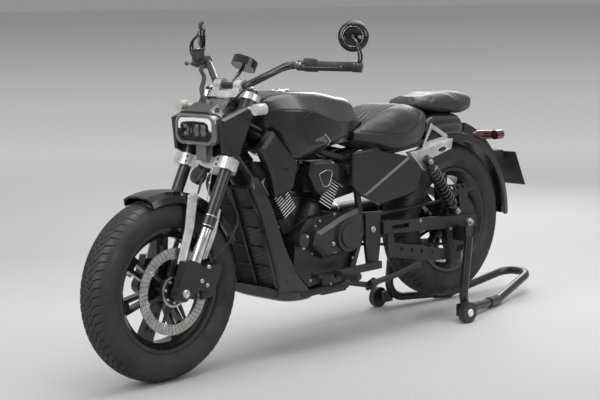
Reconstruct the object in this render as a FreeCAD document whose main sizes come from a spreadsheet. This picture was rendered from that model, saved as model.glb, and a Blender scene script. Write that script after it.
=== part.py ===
import FreeCAD, Part
import math
import os

import Sketcher
from FreeCAD import Placement, Rotation, Vector

# Units are millimetres. +X is forward, +Y is the rider's left, +Z is up.
# Places are measured from the ground under the rear axle; every piece is then
# moved back by the same amount, so that the origin lies under the middle of the whole.

VALUES = {
    # wheels, discs and pulley
    "wheelbase": 1520, "front_radius": 320, "rear_radius": 322, "rear_axle_height": 388,
    "front_tyre_width": 130, "rear_tyre_width": 150, "rim_radius": 217, "rim_wall": 9,
    "rim_flange": 12, "rim_drop": 26, "front_rim_width": 92, "rear_rim_width": 116,
    "bead_fit": 0.3, "hub_radius": 38, "front_hub_width": 104, "rear_hub_width": 150,
    "axle_radius": 10, "axle_fit": 0.3, "spoke_bar": 17, "spoke_spread": 56, "spoke_root": 34,
    "spoke_depth": 30, "spoke_sink": 6, "disc_radius": 150, "disc_band": 36, "disc_thickness": 4.5,
    "front_disc_side": 67, "rear_disc_radius": 130, "rear_disc_side": 84, "carrier_radius": 52,
    "carrier_arm": 18, "bobbin_radius": 9, "bobbin_sink": 5, "pulley_radius": 96,
    "pulley_width": 28, "pulley_side": 92, "pulley_lip": 4, "rear_axle_x": 0, "disc_clear": 3,
    # drive belt
    "front_pulley_x": 725, "front_pulley_height": 422, "front_pulley_radius": 38,
    "belt_thickness": 6, "belt_width": 22, "belt_fit": 0.3, "belt_room": 6,
    # steering head, fork and axle
    "rake": 26.5, "leg_offset": 36, "axle_lead": 17, "leg_spread": 106, "leg_radius": 21.5,
    "stanchion_radius": 18.5, "leg_top": 752, "leg_low": 245, "stanchion_low": 60,
    "collar_height": 40, "collar_radius": 24.5, "low_clamp_base": 452, "low_clamp_height": 42,
    "top_clamp_base": 712, "top_clamp_height": 24, "clamp_wall": 15, "clamp_waist": 62,
    "stem_radius": 15, "head_tube_radius": 30, "head_gap": 1, "stem_gap": 0.4, "bracket_top": 112,
    "bracket_low": 34, "bracket_ear": 112, "bracket_width": 66, "bracket_thickness": 36,
    "axle_boss_radius": 30, "front_axle_reach": 128, "axle_nut_radius": 15, "axle_nut_length": 12,
    "shroud_width": 86, "shroud_thickness": 8, "shroud_gap": 0.4, "pinch_block": 36,
    "pinch_hole": 5.5, "pinch_slit": 3,
    # front fender, lamp and cowl
    "fender_gap": 14, "fender_thickness": 6, "fender_width": 160, "fender_drop": 34,
    "fender_ahead": 16, "fender_behind": 64, "stay_width": 34, "stay_thickness": 7,
    "lamp_width": 208, "lamp_tall": 108, "lamp_depth": 92, "lamp_round": 34, "cowl_height": 46,
    "stay_front_top": -84, "stay_top_height": 326, "stay_front_low": -24, "stay_low_height": 96,
    "stay_rear_top": -196, "stay_rear_height": 262, "stay_rear_low": -128, "stay_bow": 10,
    "lamp_ahead": 140.9, "lamp_above": 63.3,
    # handlebar, its controls, mirrors, gauge and indicators
    "bar_radius": 12.5, "bar_height": 1000, "bar_x": 1172, "bar_straight": 74, "bar_rise_x": 1092,
    "bar_rise_side": 205, "bar_rise_height": 1073, "bar_end_x": 972, "bar_end_side": 402,
    "bar_end_height": 1066, "bar_bend": 60, "grip_radius": 17, "grip_length": 128,
    "bar_weight_radius": 19, "bar_weight_length": 14, "riser_width": 34, "riser_depth": 40,
    "riser_side": 52, "riser_wall": 12, "mirror_x": 958, "mirror_side": 392, "mirror_height": 1170,
    "mirror_radius": 54, "mirror_thickness": 24, "mirror_stem": 6, "gauge_x": 1112,
    "gauge_height": 1062, "gauge_radius": 46, "gauge_depth": 30, "blinker_side": 200,
    "blinker_radius": 20, "blinker_length": 44, "blinker_stem": 7, "switch_length": 42,
    "switch_radius": 19, "perch_length": 26, "perch_radius": 18, "lever_reach": 48,
    "lever_radius": 5.5, "lever_length": 150, "lever_ball": 8, "cup_radius": 18, "cup_height": 34,
    "mirror_clamp": 16, "gauge_tilt": 30, "blinker_ahead": 60.7, "blinker_below": 37.6,
    "cable_radius": 3.6,
    # calipers
    "caliper_tall": 62, "caliper_width": 38, "caliper_length": 120, "caliper_sink": 6,
    "caliper_bite": 44, "front_caliper_angle": 172, "rear_caliper_angle": 28,
    # frame
    "rail_radius": 13, "pivot_x": 574, "pivot_height": 426, "pivot_plate": 14, "tube_bend": 60,
    "rail_knee_x": 1000, "rail_side": 62, "rail_knee_height": 800, "seat_rail_x": 640,
    "seat_rail_side": 92, "seat_rail_height": 690, "rail_tail": 150, "down_top_x": 1112,
    "down_top": 606, "down_x": 1003, "down_side": 92, "down_height": 282, "rail_end_height": 742,
    "shock_cross_height": 727, "cradle_x": 960, "cradle_side": 112.5, "cradle_height": 226,
    "cradle_rear_x": 700, "plate_back": 46, "plate_ahead": 40, "plate_rise": 60, "plate_low": 268,
    "lug_thickness": 10,
    # engine
    "crank_x": 872, "crank_height": 385, "case_length": 330, "case_width": 190, "case_height": 236,
    "front_lean": 33, "rear_lean": 30, "barrel_radius": 52, "barrel_start": 92, "fin_start": 175,
    "fin_pitch": 11, "fin_thickness": 3.5, "fin_length": 118, "fin_width": 168, "fin_round": 26,
    "head_height": 62, "head_length": 108, "head_width": 168, "case_back": 70, "cover_out": 46,
    "pulley_cover_radius": 62, "cover_boss": 12, "cover_length": 100, "cover_tall": 60,
    "head_cover_depth": 14, "starter_radius": 26, "starter_x": 946, "starter_height": 429,
    "sump_x": 700, "sump_length": 130, "sump_low": 205, "sump_tall": 70, "crank_cover_x": 632,
    "crank_cover_z": 347, "crank_cover_run": 268, "crank_cover_rise": 170, "front_fins": 11,
    "rear_fins": 9, "shield_x": 776, "shield_z": 583, "shield_run": 140, "shield_rise": 132,
    "shield_depth": 56,
    # radiator, grille and shroud
    "radiator_low_x": 1052, "radiator_low": 272, "radiator_top_x": 1176, "radiator_top": 640,
    "radiator_depth": 30, "radiator_width": 200, "grille_bar": 2.6, "grille_depth": 9,
    "shroud_side": 28, "chin_rear_x": 896, "chin_low": 194, "grille_slats": 22, "shroud_low": 230,
    "shroud_tall": 450, "shroud_run": 306, "chin_x": 800, "chin_length": 275, "chin_tall": 75,
    # tank, seats, tail and side panels
    "tank_rear": 530, "tank_length": 556, "tank_base": 722, "tank_tall": 246, "tank_width": 300,
    "seat_rear": 190, "seat_length": 470, "seat_base": 706, "seat_tall": 180, "seat_width": 300,
    "pillion_rear": -140, "pillion_length": 394, "pillion_base": 822, "pillion_tall": 96,
    "pillion_width": 206, "tail_rear": -40, "tail_length": 250, "tail_base": 706, "tail_tall": 136,
    "tail_width": 204, "cover_x": 280, "cover_z": 514, "cover_run": 410, "cover_rise": 222,
    "cover_side": 118, "cover_thickness": 25, "nose_x": 976, "nose_z": 601, "nose_run": 180,
    "nose_rise": 237, "nose_side": 100, "cast_x": 81, "cast_z": 619, "cast_run": 268,
    "cast_rise": 117, "cast_side": 105.8, "cast_thickness": 25, "cap_radius": 30, "cap_height": 4,
    "nose_thickness": 40, "brace_thickness": 5,
    # swing arm, shocks and belt guards
    "arm_side": 118, "arm_width": 26, "arm_tall": 50, "shock_low_x": 90, "shock_low_height": 444,
    "shock_top_x": 262, "shock_top_height": 660, "shock_side": 148, "spring_radius": 27,
    "spring_turns": 9, "shock_eye": 17, "guard_thickness": 5, "arm_tail": 60, "arm_front_x": 522,
    "arm_cheek": 70, "cheek_width": 12, "slot_x": 374, "slot_length": 101, "slot_height": 411,
    "slot_tall": 17, "low_guard_x": 51, "low_guard_z": 235, "low_guard_run": 453,
    "low_guard_rise": 165, "guard_hole": 9, "top_guard_x": -101, "top_guard_z": 408,
    "top_guard_run": 205, "top_guard_rise": 141,
    # rear fender, plate and lamp
    "guard_gap": 44, "guard_width": 176, "guard_drop": 40, "plate_width": 190, "plate_tall": 165,
    "plate_thickness": 3, "guard_start": 12, "guard_end": 92, "carrier_width": 60,
    "carrier_height": 46, "carrier_start": 18, "carrier_sweep": 58, "plate_arm": 84,
    "plate_x": -466, "plate_z": 492, "plate_tilt": 26, "tail_lamp_depth": 168,
    "tail_lamp_width": 96, "tail_lamp_tall": 42, "tail_lamp_x": -341, "tail_lamp_z": 700,
    "rear_blinker_side": 76,
    # exhaust
    "pipe_side": 205, "pipe_low": 345, "pipe_radius": 18, "muffler_front": 540,
    "muffler_height": 438, "muffler_radius": 42, "muffler_length": 380, "header_bend": 530,
    "header_x": 988, "header_side": 50, "header_low": 400, "header_out": 112, "header_rear_x": 940,
    "rear_header_x": 688, "rear_header_side": 132, "rear_header_height": 548,
    "rear_header_top": 612, "rear_header_out": 158,
    # pegs, pedals and side stand
    "peg_side": 146, "peg_x": 800, "peg_height": 290, "peg_radius": 14, "peg_reach": 40,
    "peg_length": 80, "lever_run": 120, "side_hinge_x": 600, "side_hinge_y": 148,
    "side_hinge_z": 216, "side_foot_x": 360, "side_foot_side": 20, "side_foot_z": 262,
    "side_leg_radius": 11, "side_pin_radius": 9, "side_pin_length": 30, "hinge_lean": 40,
    "pin_fit": 0.05, "foot_length": 60, "foot_width": 30, "foot_thickness": 6,
    # paddock stand
    "stand_radius": 18, "stand_side": 200, "stand_top_x": 66, "stand_top": 340,
    "stand_foot_x": 108, "stand_foot_height": 42, "roller_x": 125, "roller_radius": 42,
    "roller_width": 28, "sleeve_x": -225, "sleeve_side": 127, "loop_x": -545, "loop_side": 62,
    "loop_height": 88, "sleeve_wall": 4, "sleeve_length": 90, "stand_bend": 70, "stand_cup": 60,
    "roller_pin": 10, "roller_reach": 60, "roller_plate": 20, "roller_side": 226,
}

doc = FreeCAD.newDocument("Cruiser")
sheet = doc.addObject("Spreadsheet::Sheet", "Sizes")
for row, (alias, value) in enumerate(VALUES.items(), start=1):
    sheet.set(f"A{row}", alias)
    sheet.set(f"B{row}", str(value))
    sheet.setAlias(f"B{row}", alias)
doc.recompute()


class Size:
    """A number from the sheet, or one worked out from such numbers, with its formula."""

    def __init__(self, value, formula):
        self.value = float(value)
        self.formula = formula

    def joined(self, other, sign, value):
        return Size(value(self.value, number(other)), f"({self.formula} {sign} {text(other)})")

    def __add__(self, other):
        return self.joined(other, "+", lambda a, b: a + b)

    def __sub__(self, other):
        return self.joined(other, "-", lambda a, b: a - b)

    def __mul__(self, other):
        return self.joined(other, "*", lambda a, b: a * b)

    def __truediv__(self, other):
        return self.joined(other, "/", lambda a, b: a / b)

    def __rsub__(self, other):
        return Size(number(other) - self.value, f"({text(other)} - {self.formula})")

    def __neg__(self):
        return Size(-self.value, f"(0 - {self.formula})")

    def __float__(self):
        return self.value

    __radd__ = __add__
    __rmul__ = __mul__


def number(size):
    return size.value if isinstance(size, Size) else float(size)


def text(size):
    return size.formula if isinstance(size, Size) else repr(float(size))


def sine(angle):
    return Size(math.sin(math.radians(number(angle))), f"sin({text(angle)})")


def cosine(angle):
    return Size(math.cos(math.radians(number(angle))), f"cos({text(angle)})")


class Sheet:
    """Gives each alias of the sheet as a Size."""

    def __getattr__(self, alias):
        return Size(VALUES[alias], "Sizes." + alias)


s = Sheet()


def vector(x, y, z):
    return Vector(number(x), number(y), number(z))


def bind(item, **sizes):
    for prop, size in sizes.items():
        item.setExpression(prop, text(size))
    return item


ALONG = {"x": Rotation(Vector(0, 1, 0), 90), "y": Rotation(Vector(1, 0, 0), -90), "z": Rotation()}
nodes = []


def put(item, x=0, y=0, z=0, turn=None):
    """Place an object, with the formulas of its position kept."""
    item.Placement = Placement(vector(x, y, z), turn or Rotation())
    for axis, size in zip("xyz", (x, y, z)):
        if isinstance(size, Size):
            item.setExpression(f"Placement.Base.{axis}", size.formula)
    return item


def add(kind, name):
    return doc.addObject(kind, name)


def cylinder(name, radius, length, x=0, y=0, z=0, along="z"):
    item = bind(add("Part::Cylinder", name), Radius=radius, Height=length)
    return put(item, x, y, z, ALONG[along])


def box(name, length, width, height, x=0, y=0, z=0):
    """A box centred in Y on its place, with its low X and Z faces there."""
    item = bind(add("Part::Box", name), Length=length, Width=width, Height=height)
    return put(item, x, y - width / 2 if isinstance(width, Size) else y, z)


def feature(name, shape):
    item = add("Part::Feature", name)
    item.Shape = shape
    return item


def fuse(name, items):
    item = add("Part::MultiFuse", name)
    item.Shapes = items
    item.Refine = True
    return item


def cut(name, base, tools):
    item = add("Part::Cut", name)
    item.Base = base
    item.Tool = tools[0] if len(tools) == 1 else fuse(name + "Tools", tools)
    item.Refine = True
    return item


def node(item, label, x=0, y=0, z=0, turn=None):
    """Give a finished piece its label and its place from the origin of the whole."""
    item.Label = label
    put(item, x - s_origin, y if isinstance(y, Size) else 0, z, turn)
    nodes.append(item)
    return item


def fork_node(item, label):
    """A piece drawn in the fork's frame: Z up the steering axis, X ahead of it."""
    item.Label = label
    put(item, head_x - s_origin, 0, head_z, Rotation(Vector(0, 1, 0), -VALUES["rake"]))
    nodes.append(item)
    return item


def carve(label, *others):
    """Cut from a placed piece the room of the placed pieces that it seats on."""
    base = next(item for item in nodes if item.Label == label)
    tools = [item for item in nodes if item.Label in others]
    seated = cut(base.Name + "Seated", base, tools)
    nodes[nodes.index(base)] = seated
    base.Label = label + "_uncut"
    seated.Label = label
    return seated


def sketch(body, name, plane, outline, holes=()):
    """A closed outline of straight runs, each corner bound to its two formulas."""
    drawing = body.newObject("Sketcher::SketchObject", name)
    role = {"XY": "XY_Plane", "XZ": "XZ_Plane", "YZ": "YZ_Plane"}[plane]
    origin = next(item for item in body.Origin.OriginFeatures if item.Role == role)
    drawing.AttachmentSupport = [(origin, "")]
    drawing.MapMode = "FlatFace"
    for corners in (outline, *holes):
        start = drawing.GeometryCount
        count = len(corners)
        flat = [Vector(number(a), number(b), 0) for a, b in corners]
        lines = [Part.LineSegment(flat[i], flat[(i + 1) % count]) for i in range(count)]
        drawing.addGeometry(lines, False)
        for i in range(count):
            drawing.addConstraint(Sketcher.Constraint(
                "Coincident", start + i, 2, start + (i + 1) % count, 1))
        for i, (a, b) in enumerate(corners):
            for kind, size in (("DistanceX", a), ("DistanceY", b)):
                index = drawing.addConstraint(Sketcher.Constraint(
                    kind, -1, 1, start + i, 1, number(size)))
                if isinstance(size, Size):
                    drawing.setExpression(f"Constraints[{index}]", size.formula)
    return drawing


def pad(name, plane, outline, depth, holes=(), middle=True):
    """A body with one pad of an outline, its thickness shared to both sides of the plane."""
    body = add("PartDesign::Body", name)
    drawing = sketch(body, name + "Sketch", plane, outline, holes)
    block = body.newObject("PartDesign::Pad", name + "Pad")
    block.Profile = drawing
    block.Midplane = middle
    bind(block, Length=depth)
    return body


def pattern(body, name, source, axis_role, count):
    around = body.newObject("PartDesign::PolarPattern", name)
    around.Originals = [source]
    axis = next(item for item in body.Origin.OriginFeatures if item.Role == axis_role)
    around.Axis = (axis, [""])
    around.Angle = 360
    around.Occurrences = count
    body.Tip = around
    return around


def turned(name, outline):
    """A body turned about Y from an outline of (side, radius) corners."""
    body = add("PartDesign::Body", name)
    drawing = sketch(body, name + "Sketch", "YZ", outline)
    round_body = body.newObject("PartDesign::Revolution", name + "Turn")
    round_body.Profile = drawing
    axis = next(item for item in body.Origin.OriginFeatures if item.Role == "Y_Axis")
    round_body.ReferenceAxis = (axis, [""])
    round_body.Angle = 360
    return body


def rounded_path(points, bend):
    """Straight runs through the points, joined by arcs of the bend radius."""
    edges = []
    start = points[0]
    for i in range(1, len(points) - 1):
        before = (points[i - 1] - points[i])
        after = (points[i + 1] - points[i])
        turn = math.pi - before.getAngle(after)
        if turn < math.radians(1):
            edges.append(Part.makeLine(start, points[i]))
            start = points[i]
            continue
        reach = min(number(bend) * math.tan(turn / 2), before.Length * 0.45, after.Length * 0.45)
        one = points[i] + before.normalize() * reach
        two = points[i] + after.normalize() * reach
        inward = (before + after).normalize()
        radius = reach / math.tan(turn / 2)
        middle = points[i] + inward * (radius / math.cos(turn / 2) - radius)
        edges.append(Part.makeLine(start, one))
        edges.append(Part.Arc(one, middle, two).toShape())
        start = two
    edges.append(Part.makeLine(start, points[-1]))
    return Part.Wire(edges)


def tube(points, radius, bend):
    """A round bar swept along straight runs and their arcs."""
    path = rounded_path(points, bend)
    direction = (points[1] - points[0]).normalize()
    ring = Part.Wire(Part.makeCircle(number(radius), points[0], direction))
    return path.makePipeShell([ring], True, True)


def mirrored_points(points):
    return [Vector(p.x, -p.y, p.z) for p in points]


def two_tubes(points, radius, bend):
    return [tube(points, radius, bend), tube(mirrored_points(points), radius, bend)]


def oval(x, half_width, low, high, square_share):
    """A closed rounded section across X: a superellipse of the given squareness."""
    middle, half = (low + high) / 2, (high - low) / 2
    count = 16
    points = []
    for i in range(count):
        angle = 2 * math.pi * i / count
        c, d = math.cos(angle), math.sin(angle)
        y = math.copysign(abs(c) ** square_share, c) * half_width
        z = math.copysign(abs(d) ** square_share, d) * half
        points.append(Vector(x, y, middle + z))
    curve = Part.BSplineCurve()
    curve.interpolate(Points=points, PeriodicFlag=True)
    return Part.Wire(curve.toShape())


def pod(name, rear, length, base, tall, width, section_shares, square_share=0.62):
    """A body lofted along X through rounded sections, given as shares of its box."""
    rings = [oval(number(rear) + number(length) * along, number(width) / 2 * wide,
                  number(base) + number(tall) * low, number(base) + number(tall) * high,
                  square_share)
             for along, wide, low, high in section_shares]
    return feature(name, Part.makeLoft(rings, True, False))


def ring(corners, place):
    """A closed outline of straight runs and corner arcs; each corner is (across, up, radius)."""
    spots = [Vector(number(a), number(b), 0) for a, b, _ in corners]
    count = len(corners)
    arcs = []
    for i, (_, _, radius) in enumerate(corners):
        before = (spots[i - 1] - spots[i]).normalize()
        after = (spots[(i + 1) % count] - spots[i]).normalize()
        turn = math.pi - before.getAngle(after)
        reach = number(radius) * math.tan(turn / 2)
        inward = (before + after).normalize()
        middle = spots[i] + inward * (number(radius) * (1 / math.cos(turn / 2) - 1))
        arcs.append((spots[i] + before * reach, middle, spots[i] + after * reach))
    edges = []
    for i in range(count):
        one, middle, two = (place(spot.x, spot.y) for spot in arcs[i])
        ahead = arcs[(i + 1) % count][0]
        edges.append(Part.Arc(one, middle, two).toShape())
        edges.append(Part.makeLine(two, place(ahead.x, ahead.y)))
    return Part.Wire(edges)


def plate(name, outline, depth, bevel, sign, holes=()):
    """A pad across Y whose face on one side has a bevel along its edges."""
    body = pad(name, "XZ", outline, depth, holes)
    block = body.Tip
    block.Profile[0].recompute()
    block.recompute()
    ends = [(face.CenterOfMass.y, i) for i, face in enumerate(block.Shape.Faces)
            if abs(face.normalAt(0, 0).y) > 0.99]
    outer = (max if sign > 0 else min)(ends)[1]
    edge = body.newObject("PartDesign::Chamfer", name + "Bevel")
    edge.Base = (block, [f"Face{outer + 1}"])
    bind(edge, Size=bevel)
    body.Tip = edge
    return body


def rows(name, plane, outline, depth, axis_role, run, count):
    """A body with a pad repeated along an axis."""
    body = pad(name, plane, outline, depth, middle=False)
    source = body.Tip
    repeat = body.newObject("PartDesign::LinearPattern", name + "Rows")
    repeat.Originals = [source]
    repeat.Direction = (next(item for item in body.Origin.OriginFeatures
                             if item.Role == axis_role), [""])
    bind(repeat, Length=run)
    repeat.Occurrences = count
    body.Tip = repeat
    return body


def scaled(x, z, run, rise, shares):
    """Corners of a side view from their shares of its box."""
    return [(x + run * a, z + rise * b) for a, b in shares]


# Places that several pieces share.
fork_sine, fork_cosine = sine(s.rake), cosine(s.rake)
axle_offset = s.leg_offset + s.axle_lead
head_x = s.wheelbase - axle_offset * fork_cosine
head_z = s.front_radius - axle_offset * fork_sine
front_end = s.wheelbase + s.front_radius
rear_end = s.loop_x - s.stand_radius
s_origin = (front_end + rear_end) / 2


def from_fork(x, y, z):
    """A place of the fork's frame, in the frame of the whole."""
    return (head_x + x * fork_cosine - z * fork_sine, y, head_z + x * fork_sine + z * fork_cosine)


def tyre(name, radius, width, rim_width, x, z, label):
    bead = s.rim_radius + s.bead_fit
    shares = ((0.36, 0.0), (0.47, 0.22), (0.5, 0.45), (0.47, 0.66), (0.4, 0.83),
              (0.28, 0.94), (0.14, 0.985), (0.0, 1.0))
    wall = radius - bead
    outer = [(width * side, bead + wall * out) for side, out in shares[1:]]
    right = [(-side, out) for side, out in reversed(outer[:-1])]
    half = rim_width / 2
    lip, seat = half - s.rim_flange / 2, half - s.rim_flange - s.bead_fit
    low = s.rim_radius - s.rim_drop / 2 + s.bead_fit
    inner = [(-(width * shares[0][0]), bead), (-lip, bead), (-seat, low), (seat, low),
             (lip, bead), (width * shares[0][0], bead)]
    outline = outer + right + inner
    return node(turned(name, outline), label, x, 0, z)


def rim(name, width, hub_width, spokes, x, z, label):
    half, r = width / 2, s.rim_radius
    drop, wall, flange = s.rim_drop, s.rim_wall, s.rim_flange
    outline = [(half, r), (half - flange / 2, r), (half - flange, r - drop / 2),
               (half / 2, r - drop), (-half / 2, r - drop), (flange - half, r - drop / 2),
               (flange / 2 - half, r), (-half, r), (-half, r - flange),
               (flange - half, r - drop / 2 - wall), (-half / 2, r - drop - wall),
               (half / 2, r - drop - wall), (half - flange, r - drop / 2 - wall),
               (half, r - flange)]
    barrel = turned(name + "Barrel", outline)
    hub = cut(name + "Hub", cylinder(name + "HubBar", s.hub_radius, hub_width,
                                     y=-(hub_width / 2), along="y"),
              [cylinder(name + "HubBore", s.axle_radius + s.axle_fit, hub_width,
                        y=-(hub_width / 2), along="y")])
    top = r - drop - wall + s.spoke_sink
    foot = s.hub_radius - s.spoke_sink
    wide, narrow, bar = s.spoke_spread / 2, s.spoke_root / 2, s.spoke_bar
    arm = pad(name + "Spokes", "XZ",
              [(-narrow, foot), (narrow, foot), (wide, top), (-wide, top)], s.spoke_depth,
              holes=[[(-(narrow / 2), foot + bar * 3), (narrow / 2, foot + bar * 3),
                      (wide - bar, top - bar * 2), (bar - wide, top - bar * 2)]])
    pattern(arm, name + "SpokeRing", arm.Tip, "Y_Axis", spokes)
    return node(fuse(name, [barrel, hub, arm]), label, x, 0, z)


def disc(name, radius, side, hub_face, x, z, label, bobbins=7):
    """A drilled ring on a carrier whose boss starts at the face of the hub."""
    half = s.disc_thickness / 2
    ring = turned(name + "Ring", [(-half, radius - s.disc_band), (half, radius - s.disc_band),
                                  (half, radius), (-half, radius)])
    put(ring, 0, side, 0)
    low = hub_face if number(side) > 0 else side - s.disc_thickness
    high = side + s.disc_thickness if number(side) > 0 else hub_face
    boss = cylinder(name + "Boss", s.carrier_radius, high - low, y=low, along="y")
    bore = cylinder(name + "Bore", s.axle_radius + s.axle_fit, high - low, y=low, along="y")
    reach = radius - s.disc_band + s.bobbin_sink
    arm = pad(name + "Arms", "XZ", [
        (-(s.carrier_arm / 2), s.carrier_radius - s.bobbin_sink),
        (s.carrier_arm / 2, s.carrier_radius - s.bobbin_sink),
        (s.carrier_arm / 3, reach), (-(s.carrier_arm / 3), reach)], s.disc_thickness)
    pattern(arm, name + "ArmRing", arm.Tip, "Y_Axis", bobbins)
    put(arm, 0, side, 0)
    pins = []
    for i in range(bobbins):
        turn = 360 / bobbins * i
        pins.append(cylinder(f"{name}Bobbin{i + 1}", s.bobbin_radius, s.disc_thickness * 2,
                             x=reach * math.sin(math.radians(turn)), y=side - s.disc_thickness,
                             z=reach * math.cos(math.radians(turn)), along="y"))
    whole = cut(name, fuse(name + "Solid", [ring, boss, arm, *pins]), [bore])
    return node(whole, label, x, 0, z)


def make_front_wheel():
    tyre("FrontTyre", s.front_radius, s.front_tyre_width, s.front_rim_width,
         s.wheelbase, s.front_radius, "front_tyre")
    rim("FrontRim", s.front_rim_width, s.front_hub_width, 7, s.wheelbase, s.front_radius,
        "front_rim")
    disc("FrontDisc", s.disc_radius, s.front_disc_side, s.front_hub_width / 2, s.wheelbase,
         s.front_radius, "front_disc")


def make_rear_wheel():
    tyre("RearTyre", s.rear_radius, s.rear_tyre_width, s.rear_rim_width, s.rear_axle_x,
         s.rear_axle_height, "rear_tyre")
    rim("RearRim", s.rear_rim_width, s.rear_hub_width, 7, s.rear_axle_x, s.rear_axle_height,
        "rear_rim")
    disc("RearDisc", s.rear_disc_radius, -s.rear_disc_side, -(s.rear_hub_width / 2), s.rear_axle_x,
         s.rear_axle_height, "rear_disc")
    lip = s.pulley_radius + s.pulley_lip
    half = s.pulley_width / 2
    core = turned("PulleyWheel", [
        (-half, s.hub_radius), (half, s.hub_radius), (half, lip), (half - s.pulley_lip / 2, lip),
        (half - s.pulley_lip / 2, s.pulley_radius), (s.pulley_lip / 2 - half, s.pulley_radius),
        (s.pulley_lip / 2 - half, lip), (-half, lip)])
    put(core, 0, s.pulley_side, 0)
    face = s.rear_hub_width / 2
    reach = s.pulley_side + half - face
    hub = cut("PulleyHub", cylinder("PulleyBoss", s.hub_radius, reach, y=face, along="y"),
              [cylinder("PulleyBore", s.axle_radius + s.axle_fit, reach, y=face, along="y")])
    node(fuse("RearPulley", [core, hub]), "rear_pulley", s.rear_axle_x, 0, s.rear_axle_height)


def clamp(name, base, height, waist, hole, block):
    """A fork clamp: a boss about each leg and one about the stem, a bridge, and pinch blocks."""
    outer = s.leg_radius + s.clamp_wall
    sides = (s.leg_spread, -s.leg_spread)
    solids = [cylinder(f"{name}Boss{i}", outer, height, s.leg_offset, y, base)
              for i, y in enumerate(sides)]
    solids.append(cylinder(name + "Middle", waist / 2, height, 0, 0, base))
    solids.append(box(name + "Bridge", s.leg_offset + outer * 0.6, s.leg_spread * 2, height,
                      -(outer * 0.3), 0, base))
    tools = [cylinder(f"{name}Hole{i}", hole, height, s.leg_offset, y, base)
             for i, y in enumerate(sides)]
    deep = s.leg_radius + s.clamp_wall * 0.5
    face = s.leg_offset + deep
    for i, y in enumerate(sides):
        solids.append(box(f"{name}Block{i}", deep, block * 2, height, s.leg_offset, y, base))
        inward = -1 if number(y) > 0 else 1
        for j, share in enumerate((0.27, 0.73)):
            tools.append(cylinder(f"{name}Bolt{i}{j}", s.pinch_hole, deep * 0.5,
                                  face - deep * 0.5, y + inward * block * 0.76,
                                  base + height * share, "x"))
        tools.append(box(f"{name}Slit{i}", deep * 0.7, s.pinch_slit, height,
                         face - deep * 0.7, y + inward * block * 0.3, base))
    return cut(name, fuse(name + "Solid", solids), tools)


def make_fork():
    """The clamps with their stem, the outer tubes and the stanchions with axle brackets."""
    hole = s.leg_radius + s.shroud_gap / 2
    low = clamp("LowClamp", s.low_clamp_base, s.low_clamp_height, s.clamp_waist, hole,
                s.pinch_block)
    top = clamp("TopClamp", s.top_clamp_base, s.top_clamp_height, s.clamp_waist, hole,
                s.pinch_block * 0.9)
    stem = cylinder("Stem", s.stem_radius, s.top_clamp_base - s.low_clamp_base, 0, 0,
                    s.low_clamp_base)
    bar = bar_place()
    risers = []
    for i, y in enumerate((s.riser_side, -s.riser_side)):
        post_height = bar[2] - s.top_clamp_base - s.top_clamp_height
        post = box(f"RiserPost{i}", s.riser_depth, s.riser_width, post_height,
                   bar[0] - s.riser_depth / 2, y, s.top_clamp_base + s.top_clamp_height)
        ring = cylinder(f"RiserRing{i}", s.bar_radius + s.riser_wall, s.riser_width, bar[0],
                        y - s.riser_width / 2, bar[2], "y")
        risers += [post, ring]
    bore = cylinder("BarBore", s.bar_radius + s.shroud_gap / 2, s.leg_spread * 2, bar[0],
                    -s.leg_spread, bar[2], "y")
    reach = box("TopReach", bar[0] + s.riser_depth / 2, (s.riser_side + s.riser_width / 2) * 2,
                s.top_clamp_height, 0, 0, s.top_clamp_base)
    fork_node(cut("Clamps", fuse("ClampSolid", [low, top, stem, reach, *risers]), [bore]),
              "fork_clamps")

    outers, inners = [], []
    for i, side in enumerate((s.leg_spread, -s.leg_spread)):
        tube_bar = cylinder(f"OuterLeg{i}", s.leg_radius, s.leg_top - s.leg_low, s.leg_offset,
                            side, s.leg_low)
        collar = cylinder(f"Collar{i}", s.collar_radius, s.collar_height, s.leg_offset, side,
                          s.leg_low)
        bore = cylinder(f"LegBore{i}", s.stanchion_radius + s.shroud_gap / 2,
                        s.collar_height * 2, s.leg_offset, side, s.leg_low)
        outers.append(cut(f"Outer{i}", fuse(f"OuterSolid{i}", [tube_bar, collar]), [bore]))
        inners.append(cylinder(f"Stanchion{i}", s.stanchion_radius,
                               s.leg_low + s.collar_height * 1.5 - s.stanchion_low,
                               s.leg_offset, side, s.stanchion_low))
        inners.append(axle_bracket(i, side))
    fork_node(fuse("OuterTubes", outers), "fork_tubes")
    fork_node(fuse("LowerLegs", inners), "fork_legs")


def axle_bracket(i, side):
    """The casting at a leg's foot: a sleeve about the stanchion and the axle's boss."""
    half = s.bracket_width / 2
    front = s.leg_offset + half
    ear = s.leg_offset - s.bracket_ear
    body = pad(f"Bracket{i}", "XZ", [
        (s.leg_offset - half, s.bracket_top), (s.leg_offset + half * 0.8, s.bracket_top),
        (front + half * 0.6, s.bracket_top * 0.9), (front + half * 0.5, s.bracket_top * 0.6),
        (axle_offset + s.axle_boss_radius * 0.9, 0), (axle_offset, -(s.axle_boss_radius * 0.95)),
        (axle_offset - s.axle_boss_radius * 0.9, -(s.axle_boss_radius * 0.4)),
        (s.leg_offset - half * 1.5, s.bracket_low), (ear, s.bracket_low * 1.2),
        (ear, s.bracket_top * 1.2), (ear + half * 0.6, s.bracket_top * 1.3)],
        s.bracket_thickness)
    put(body, 0, side, 0)
    boss = cylinder(f"AxleBoss{i}", s.axle_boss_radius, s.bracket_thickness, axle_offset,
                    side - s.bracket_thickness / 2, 0, "y")
    bore = cylinder(f"AxleBossBore{i}", s.axle_radius + s.shroud_gap / 2, s.bracket_thickness,
                    axle_offset, side - s.bracket_thickness / 2, 0, "y")
    return cut(f"AxleBracket{i}", fuse(f"BracketSolid{i}", [body, boss]), [bore])


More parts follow.
